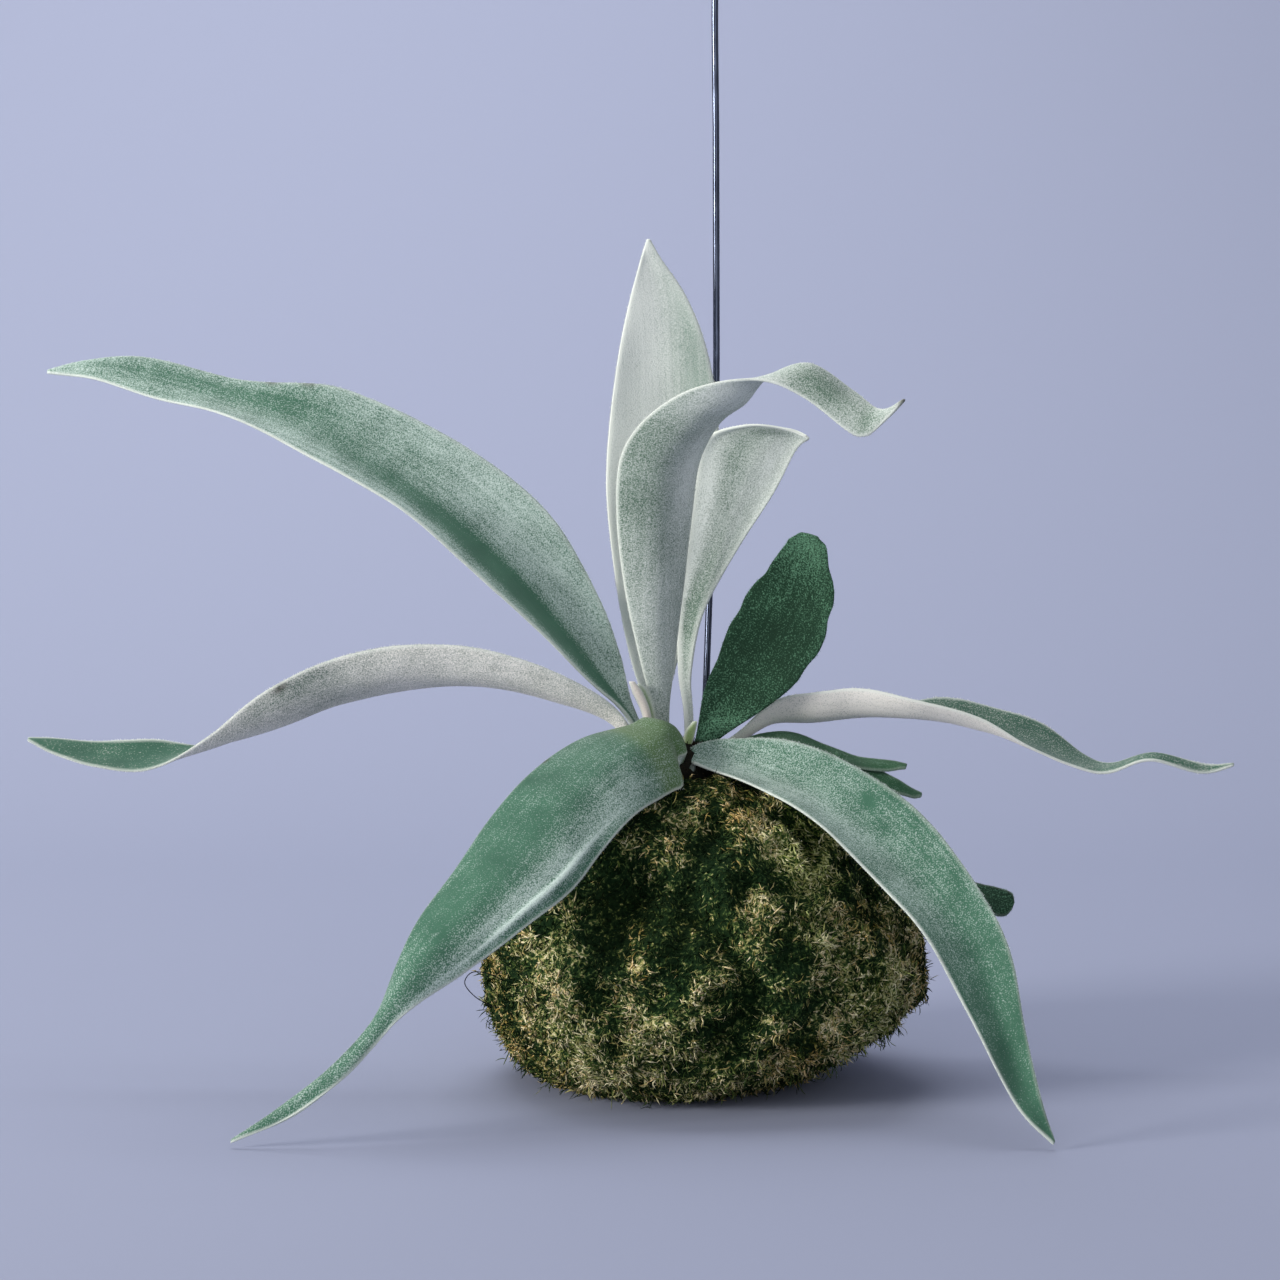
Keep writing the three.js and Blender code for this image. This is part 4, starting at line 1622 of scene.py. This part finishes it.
GREEN_FELT = FeltFinish("green fern felt", leaf="446f58", leaf_shade="2e5543", felt="b9c9c1")
WHITE_FELT = FeltFinish("white fern felt", leaf="7a9484", leaf_shade="64806f", felt="d6dbd4",
                        speckle_depth=1.3, patch_depth=0.2, vein_depth=0.25)
GREY_FELT = FeltFinish("grey fern felt", leaf="5f7866", leaf_shade="4a6253", felt="d0d6d0",
                       speckle_depth=1.9, patch_depth=0.35, vein_depth=0.25)
CREAM_FELT = FeltFinish("cream fern felt", leaf="3f6652", leaf_shade="2b4e40", felt="f5f2e9",
                        speckle_depth=1.8, patch_depth=0.4, vein_depth=0.25)
# Painted shade: this near-black green is partly the fronds' own dark colour and partly the shade that they
# lie in behind and under the other fronds.
DARK_SHADED_FELT = FeltFinish("dark fern felt with painted shade", leaf="123320", leaf_shade="0a2416", felt="5c886c",
                       speckle_mm=0.42, speckle_depth=2.8, sheen=0.03)
THIN_FELT = FeltFinish("thin green fern felt", leaf="41704c", leaf_shade="2c543a", felt="8fb09a",
                      speckle_depth=1.8)
BUD_WOOL = FeltFinish("white bud wool", leaf="93a08a", leaf_shade="7d8b74", felt="ded4ca", speckle_depth=1.0)
BUD_GREEN = FeltFinish("green bud wool", leaf="6b8a5a", leaf_shade="557548", felt="b7c2a8", speckle_depth=1.0)
SHOOT_GREEN = FeltFinish("young shoot wool", leaf="7f9e55", leaf_shade="688744", felt="b5c596",
                         speckle_depth=1.0)

FRONDS: tuple[Frond, ...] = (
    Frond(
        name="frond_upper_left", slot="frond_green", finish=GREEN_FELT,
        steps=24, ripple=0.5, waves=5,
        upper_felt=0.62, under_felt=0.95, pale_rims=(0.7, 0.2),
        rungs=(
            (-8.5, 1.5, 92, -7, 5, 93, 0), (-15.5, 0, 105.5, -13.5, 4.5, 108, -1),
            (-25, -3, 114.5, -17.5, 7, 123.5, -3), (-40, -7, 129.5, -26.5, 10, 146, -6),
            (-57, -9, 146, -40, 14, 165, -7), (-80.5, -5, 165, -65, 18, 184, -6),
            (-107, 3, 180, -97, 22, 198, -4), (-131, 12, 190.5, -126.5, 26, 201, -2.5),
            (-153.5, 20, 196, -154.5, 30, 207, -1), (-172, 27, 201, -171, 31, 207, 0),
            (-185, 31, 202.5, -185, 31.5, 203.5, 0),
        ),
        patches=(
            # Painted shade: the first two felt patches darken the lower half of the channel, which faces away
            # from the light.
            *marks(Coat.FELT, Face.UPPER, (0.2, -0.5, 0.2, 0.35, -1.1), (0.42, -0.35, 0.14, 0.3, -0.85),
                (0.6, 0.1, 0.12, 0.6, -0.25), (0.7, 0.4, 0.12, 0.5, -0.4), (0.85, 0.0, 0.16, 1.5, -0.3)),
            *marks(Coat.BROWN, Face.BOTH, (0.672, 0.97, 0.006, 0.08, 0.9), (0.635, 0.97, 0.005, 0.08, 0.9)),
        ),
    ),
    Frond(
        name="frond_left", slot="frond_pale", finish=CREAM_FELT,
        steps=24, ripple=0.4, waves=4,
        upper_felt=-0.12, under_felt=0.67, pale_rims=(0.5, 0.6),
        rungs=(
            (-11.3, -4.2, 92, -11.5, -1.5, 91, 0), (-16.5, -8, 106.5, -18.5, -4, 103, -1),
            (-32, -16, 118, -34, -5, 109.5, -2), (-53, -20, 126, -55, -5, 114, -3.5),
            (-76, -22, 127.5, -77, -5, 113.5, -3.5), (-97, -22, 124, -97, -6, 109, -3),
            (-115, -22, 115.5, -114, -9, 102.5, -2.5), (-133, -22, 101, -134.5, -12, 98.5, -2),
            (-149, -20, 92.5, -148, -11, 99.5, -1.5), (-165, -17, 92.5, -164, -10, 99, -1),
            (-176.5, -14, 95.5, -176, -10, 100, 0), (-185, -11, 99.5, -185, -10, 100.2, 0),
        ),
        patches=(
            *marks(Coat.FELT, Face.UNDER, (0.52, -0.6, 0.08, 0.5, -0.35), (0.46, 0.3, 0.06, 0.6, -0.2)),
            *marks(Coat.BROWN, Face.UNDER, (0.533, -0.85, 0.01, 0.12, 0.9)),
        ),
    ),
    Frond(
        name="frond_lower_left", slot="frond_green", finish=GREEN_FELT,
        steps=28, ripple=0.6, waves=5,
        upper_felt=-0.08, under_felt=0.95, pale_rims=(0.7, 0.1), across=40,
        crest=Crest(-0.78, 0.07, 1.1, 0.3, 0.58),
        notches=(Notch(0.13, 0.02, 0.42), Notch(0.168, 0.01, -0.14)),
        rungs=(
            (-0.5, -9, 90, -4.5, -7, 91, 0), (1.5, -13, 96, -9, -7.5, 104.5, 3),
            (0, -23.5, 88.5, -15, -11, 103.5, 6), (-11.5, -40, 83, -29, -22, 100.5, 5),
            (-21.5, -52, 74, -40.5, -36, 94.5, 4), (-30.5, -62, 64, -52, -48, 82.5, 4),
            (-43.5, -70, 54.5, -61.5, -60, 70, 4), (-57, -76, 45.5, -70.5, -68, 58, 4),
            (-70, -80, 37, -76.5, -75, 46, 3), (-79, -83, 29.5, -82, -80, 33, 1),
            (-90, -86, 18, -92.5, -84, 21.5, 0.5), (-103, -88, 8.5, -105, -87, 12, 0),
            (-119.5, -88, 1.4, -119.5, -87.5, 2.2, 0),
        ),
        patches=(
            *marks(Coat.OLIVE, Face.UPPER, (0.08, 0.1, 0.05, 3.0, 300.0)),
            # Painted highlight: the felt line at side -0.76 is the lit ridge of the fold. The other pale
            # patches on that half are denser felt and also a painted sheen where the blade is seen at a
            # grazing angle.
            *marks(Coat.FELT, Face.UPPER, (0.27, -0.65, 0.1, 0.5, 0.42), (0.46, -0.57, 0.13, 0.27, 0.5),
                (0.44, -0.76, 0.13, 0.04, 1.2), (0.43, -0.91, 0.12, 0.07, -0.05), (0.55, -0.6, 0.2, 0.4, 0.2),
                (0.52, 0.3, 0.12, 0.5, -0.15), (0.85, 0.0, 0.2, 1.5, 0.2), (0.66, -0.85, 0.1, 0.15, 0.6),
                (0.59, 0.25, 0.006, 0.06, 0.6)),
            *marks(Coat.BROWN, Face.BOTH, (0.313, 0.98, 0.006, 0.05, 0.9)),
        ),
    ),
    Frond(
        name="frond_lower_right", slot="frond_green", finish=GREEN_FELT,
        steps=26, ripple=0.6, waves=5,
        upper_felt=0.08, under_felt=0.95, out_is_upper=False, pale_rims=(0.7, 0.2),
        notches=(Notch(0.05, 0.06, 0.6),),
        rungs=(
            (2.5, -8, 89.5, 3.5, -4.5, 90.5, 0), (4.5, -12, 92, 2.4, -5, 96, 1),
            (10, -17, 91, 10, -5, 99, 2), (22, -28, 88, 23, -10.5, 100, 4),
            (34.5, -42, 82, 40.5, -22, 98, 5), (47, -54, 72, 56.5, -34, 90, 5),
            (59, -64, 60, 70.5, -46, 78, 5), (68, -73, 48.5, 81, -58, 64, 4.5),
            (75.5, -80, 34.5, 88, -69, 48.5, 4), (83, -86, 19.5, 91, -79, 31, 3),
            (90, -89, 8.5, 94, -86, 14.5, 1), (97.5, -90, 1.4, 98, -89.5, 2.2, 0),
        ),
        patches=marks(Coat.FELT, Face.UPPER, (0.15, 0.0, 0.18, 1.5, 0.38), (0.42, -0.5, 0.25, 0.5, 0.3),
            (0.88, 0.0, 0.2, 1.5, -0.35), (0.44, 0.55, 0.012, 0.12, -0.9), (0.29, -0.93, 0.004, 0.05, 0.9)),
    ),
    Frond(
        name="frond_right", slot="frond_pale", finish=CREAM_FELT,
        steps=26, ripple=0.5, waves=6,
        upper_felt=0.0, under_felt=1.0, out_is_upper=False, pale_rims=(0.8, 0.5),
        rungs=(
            (7, 5, 92, 8, 8.5, 91, 0), (17.5, 7, 100, 17, 14, 96.5, 1),
            (26.5, 6, 108.5, 27, 18, 101.5, 2.5), (38.5, 3, 112, 40, 18, 101.5, 3),
            (53, 2, 112.5, 54.5, 19, 104, 4), (72, 0, 109.5, 74, 20, 108, 5.5),
            (87, 0, 103.5, 89, 20, 107, 5), (102, 1, 95.5, 105, 19, 101, 3),
            (111.5, 2, 90.5, 117.5, 15, 93, 1), (123, 3, 88.5, 125.5, 10, 90, 0),
            (136, 4, 91.5, 137, 8, 94, 0), (151, 6, 88, 151, 8, 90.5, 0),
            (160, 6, 90, 160, 6.5, 90.8, 0),
        ),
    ),
    Frond(
        name="frond_round", slot="frond_dark", finish=DARK_SHADED_FELT,
        steps=18, ripple=0.5, waves=5, nick=0.06,
        upper_felt=-0.06, under_felt=0.3, pale_rims=(0.0, 0.0),
        rungs=(
            (3.5, 2.5, 93, 6, 2, 92, 0), (5, 3.5, 101, 11.5, 1, 98.5, -0.5),
            (7, 5.5, 111.5, 22, 1, 105.5, -1.5), (12, 6.5, 125, 33, -2, 114.5, -2.5),
            (18, 5, 138.5, 41, -5, 127, -3), (25, 2, 147.5, 43.5, -8, 140, -2.5),
            (30, -2, 155, 41.5, -10, 152.5, -1.5), (34, -5.5, 158.2, 38.8, -8.5, 157.2, 0),
        ),
        patches=marks(Coat.FELT, Face.UPPER, (0.92, 0.0, 0.16, 1.5, 0.6), (0.18, 0.2, 0.1, 1.2, 0.45)),
    ),
    Frond(
        name="frond_tall", slot="frond_pale", finish=WHITE_FELT,
        steps=20, ripple=0.4, waves=4,
        # The wider pale rim is white hairs and also a painted highlight on the rolled edge.
        upper_felt=0.85, under_felt=0.9, pale_rims=(1.0, 0.5), rim_width=1.4,
        rungs=(
            (-6, 8.8, 92, -2.5, 9.6, 92, 0), (-9.5, 10, 106, -3.5, 11.5, 106, -0.5),
            (-14.5, 13, 121.5, 0, 16, 121.5, -1), (-19, 15, 145.5, 5, 19.5, 144.5, -2),
            (-21.3, 16.5, 168.5, 9, 21.5, 166.5, -2.2), (-20.3, 17.5, 189, 11.5, 22, 187.5, -2.2),
            (-17.8, 18.5, 208, 8.5, 22.5, 208.5, -2), (-14.3, 20, 224.5, 2, 22.5, 225, -1),
            (-11.3, 21.5, 235.5, -5.3, 22, 236, -0.5), (-9.4, 22, 241.5, -8.6, 22, 241.5, 0),
        ),
        # Painted light and shade: more felt pales the left half and less felt darkens the right half, as the
        # light falls from the left.
        patches=marks(Coat.FELT, Face.UPPER, (0.6, 0.7, 0.25, 0.5, -0.5), (0.6, -0.7, 0.4, 0.5, 0.3)),
    ),
    Frond(
        name="frond_curled", slot="frond_pale", finish=GREY_FELT,
        steps=28, ripple=0.3, waves=4,
        upper_felt=0.7, under_felt=0.26, out_is_upper=False, pale_rims=(0.65, 0.5),
        rungs=(
            (-5.5, 1.2, 92, -2.5, 1.8, 92, 0), (-7.6, 0, 106, -3.2, 1.8, 106, 0.5),
            (-11.5, -2, 121.5, -1.4, 3, 121, 1.5), (-15.8, -4, 141.5, 1, 3, 141, 3),
            (-18.3, -6, 164.5, 3.6, 2, 163, 4), (-16.5, -10, 181.5, 6, -2, 178.5, 4.5),
            (-7, -16, 193, 11.5, -8, 189.5, 3.5), (8, -22, 200.5, 18.5, -14, 195, 1),
            (22.5, -24, 201.5, 24.5, -18, 202, -0.5), (34.5, -25, 196, 36, -20, 206, -1.5),
            (45.5, -27, 187.5, 48, -23, 198.5, -1.5), (50.5, -29, 186, 53.5, -26, 194, -1),
            (55.5, -31, 189.5, 57, -29, 193.5, -0.5), (61, -33, 195.5, 61.5, -33, 196.3, 0),
        ),
        patches=(
            # Painted light: the under-face patches that add felt brighten the stalk, the middle and the right
            # side of the blade, which the lamps leave in shade.
            *marks(Coat.FELT, Face.UNDER, (0.16, 0.0, 0.12, 1.5, 0.4), (0.32, -0.1, 0.07, 1.0, -0.1),
                (0.37, 0.7, 0.09, 0.5, 0.7), (0.57, 0.0, 0.09, 1.5, 0.7)),
            *marks(Coat.FELT, Face.UPPER, (0.69, 0.0, 0.05, 1.5, -0.4), (0.75, 0.1, 0.05, 1.0, -0.35),
                (0.83, 0.0, 0.04, 1.5, -0.35), (0.9, 0.0, 0.07, 1.5, -0.3)),
            *marks(Coat.BROWN, Face.BOTH, (1.0, 0.0, 0.02, 2.0, 0.8)),
        ),
    ),
    Frond(
        name="frond_upright", slot="frond_pale", finish=GREY_FELT,
        steps=20, ripple=0.3, waves=3,
        upper_felt=0.6, under_felt=0.9, pale_rims=(1.0, 0.4), rim_width=2.2, across=20,
        crest=Crest(-0.93, 0.08, 0.9, 0.56, 1.12),
        rungs=(
            (1.6, 5.5, 92, 4.2, 5.5, 92, 0), (1.2, 7.5, 105.5, 3.9, 8, 105.5, 0),
            (-0.4, 9, 117, 3.4, 8, 117, -0.5), (-0.6, 10, 135, 6.8, 8, 134, -1.5),
            (2, 11, 153.5, 16.5, 6, 152.5, -3), (4.2, 11.5, 171, 26.6, 3, 168.5, -4),
            (7, 9, 184, 32, -1, 179.5, -4), (18.5, 4, 188.5, 34.2, -4, 183, -2),
            (29.5, -2, 187.5, 35.6, -5, 184, -0.5), (35.8, -5.5, 185.3, 36.4, -6, 184.7, 0),
        ),
        # The wide pale rim and the felt patch along the top edge are white hairs and also a painted highlight
        # where the rolled edge catches the light.
        patches=marks(Coat.FELT, Face.UPPER, (0.33, 0.1, 0.1, 1.0, -0.45), (0.48, -0.85, 0.16, 0.3, 0.9),
            (0.85, -0.96, 0.25, 0.1, 1.0), (0.62, -0.25, 0.1, 0.3, -0.25), (0.64, 0.6, 0.1, 0.4, 0.25),
            (0.78, -0.3, 0.08, 0.5, -0.3)),
    ),
    Frond(
        name="frond_forked", slot="frond_dark", finish=THIN_FELT,
        steps=12, ripple=0.2, waves=3,
        upper_felt=0.0, under_felt=0.1, out_is_upper=False, pale_rims=(0.2, 0.2),
        rungs=(
            (9.5, 1, 89.5, 10, 4.5, 89.5, 0), (17, 2.5, 95.5, 17, 7.5, 97, 0.5),
            (30, 3.5, 97, 31, 12, 99.5, 0.5), (41, 5, 92.5, 42.5, 13, 95.3, 0.5),
            (50, 6.5, 89.5, 51, 13, 92.3, 0.3), (60, 7.5, 88.5, 61, 11.5, 90.8, 0),
            (65.5, 8.2, 88.8, 66, 10, 89.8, 0),
        ),
        side_rungs=(
            (44, 7, 91, 45, 12, 93.5, 0.3), (53, 6, 86.5, 56, 11.5, 89.5, 0.3),
            (60, 5, 83, 62.5, 9, 86, 0.2), (66.5, 4, 81.2, 68, 7.5, 82.8, 0),
            (69.5, 4, 81.2, 70, 5.5, 82, 0),
        ),
    ),
    Frond(
        name="frond_trailing", slot="frond_dark", finish=DARK_SHADED_FELT,
        steps=18, ripple=0.3, waves=4,
        upper_felt=-0.05, under_felt=0.0, out_is_upper=False, pale_rims=(0.1, 0.1),
        rungs=(
            (4, 9, 89.5, 4.5, 12, 90.5, 0), (13, 13.5, 91.5, 12, 18, 92.5, 0.5),
            (28.5, 18, 89.5, 28.5, 26, 90.5, 1), (47.5, 21, 77.5, 50, 30, 79.5, 1.5),
            (66, 22, 61.5, 70.5, 31, 63, 1.5), (81.5, 21, 50.5, 85, 29, 53.5, 1),
            (90.5, 19.5, 45, 93.5, 26.5, 51.8, 0.5), (95.5, 20, 44, 98, 25, 50, 0),
            (98, 21.5, 45.8, 98.8, 23, 47.4, 0),
        ),
    ),
    Frond(
        name="bud_white", slot="bud_white", finish=BUD_WOOL,
        steps=7, ripple=0, waves=1, across=6, stalk=2.4,
        upper_felt=0.95, under_felt=0.95,
        rungs=(
            (-8.4, -4.4, 94, -6.8, -4, 94, 0), (-10.8, -4.8, 106, -8.4, -4.2, 106, 0.6),
            (-13.4, -5, 112, -10.6, -4.4, 112, 0.6), (-14.6, -4.9, 115.6, -13.2, -4.6, 115.6, 0.3),
        ),
    ),
    Frond(
        name="bud_green", slot="bud_green", finish=BUD_GREEN,
        steps=7, ripple=0, waves=1, across=6, stalk=1.6,
        upper_felt=0.5, under_felt=0.5,
        rungs=(
            (-7, -2.4, 95, -5.6, -2.2, 95, 0), (-9, -2.4, 106, -7.2, -2.2, 106, 0.4),
            (-11, -2.6, 112, -9.2, -2.4, 112, 0.4), (-12.2, -2.6, 114.6, -11.4, -2.5, 114.6, 0.2),
        ),
    ),
    Frond(
        name="shoot", slot="shoot_green", finish=SHOOT_GREEN,
        steps=7, ripple=0, waves=1, across=6, stalk=1.8,
        upper_felt=0.5, under_felt=0.5,
        rungs=(
            (-0.2, -1.4, 93, 1.5, -1, 93, 0), (0.6, -1.8, 97.5, 3.4, -1.2, 97.5, 0.6),
            (1.6, -2, 101.2, 4.4, -1.4, 101.2, 0.5), (3.8, -2, 104, 4.8, -1.8, 104, 0.2),
        ),
    ),
)

BALL = MossBall(
    slices=(
        (0, 28, -4), (2, 36, -4), (7, 45, -1.5), (15, 53, 2.5), (26, 60, 7.5), (38, 62.5, 8), (50, 60, 6.5),
        (62, 53, 5), (74, 42, 4), (84, 28, 3), (90, 13, 1), (92, 0, 1),
    ),
    furrows=tuple(Furrow(*row) for row in (
        (-113, 8, 5, 24, 74), (-84, 6, 5.5, 8, 86), (-20, 7, 4, 14, 80), (60, 7, 4.5, 12, 84),
        (150, 7, 4, 16, 80),
    )),
    # Painted shadows and shade below 0, painted light above 0.
    spots=tuple(PaintedShadeAndLightSpot(*row) for row in (
        (-116, 58, 6.5, 17, -0.6), (-85, 65, 6.5, 9, -0.5), (-65, 34, 7, 10, -0.45), (-94, 83, 7, 6, -0.35),
        (-95, 42, 18, 20, -0.35), (-63, 48, 6, 7, -0.15), (-79, 74, 6, 6, -0.35), (-108, 66, 5, 7, 0.35),
        (-102, 79, 6, 6, 0.25), (-128, 33, 8, 10, 0.15), (-72, 60, 6, 8, 0.1), (-52, 60, 7, 8, 0.4),
        (-42, 38, 12, 13, 0.2), (-60, 77, 9, 6, 0.2), (-90, 6, 40, 8, 0.15),
    )),
    coats=(
        StrandCoat("moss_ground_bits", Layer.ALL, 46000, (1.4, 3.4), (0.35, 0.8), (0, 30), (-0.35, 0.9), 0.1,
                   joints=1),
        StrandCoat("moss_dark_strands", Layer.ALL, 8000, (2.5, 5.0), (0.35, 0.6), (0, 40), (-0.1, 0.25), -0.1,
                   curl=1.2),
        StrandCoat("moss_olive_strands", Layer.ALL, 13000, (2.2, 4.6), (0.35, 0.75), (0, 35), (0.2, 0.65),
                   0.15, curl=1.2),
        StrandCoat("moss_straw_strands", Layer.LUMPS, 9400, (2.0, 5.0), (0.3, 0.65), (0, 35), (0.42, 1.05),
                   -0.2, curl=1.4, branches=1),
        StrandCoat("moss_whiskers", Layer.OUTLINE, 900, (3.0, 7.0), (0.22, 0.4), (35, 80), (0.1, 0.5), 0.0,
                   joints=3, branches=2),
    ),
)


def search_tree(objects: list[bpy.types.Object]) -> BVHTree:
    """Joins the faces of several meshes into one search tree.

    Args:
        objects: the meshes.

    Returns:
        The search tree, in metres.
    """
    points, faces, start = [], [], 0
    for obj in objects:
        points += [vertex.co.copy() for vertex in obj.data.vertices]
        faces += [[start + k for k in polygon.vertices] for polygon in obj.data.polygons]
        start = len(points)
    return BVHTree.FromPolygons(points, faces)


def main() -> None:
    logging.basicConfig(level=logging.INFO, format="%(message)s")
    Studio().build()
    rng = np.random.default_rng(SEED)
    fronds = [frond.build(rng) for frond in FRONDS]
    tree = search_tree(fronds)
    pieces = fronds + BALL.build(tree, rng) + Crown().build(tree, rng) + SoilCore().build()
    pieces += HangerWire().build() + TieThread().build()
    for piece in pieces:
        log.info("%s: %d faces", piece.name, len(piece.data.polygons))


if __name__ == "__main__":
    main()
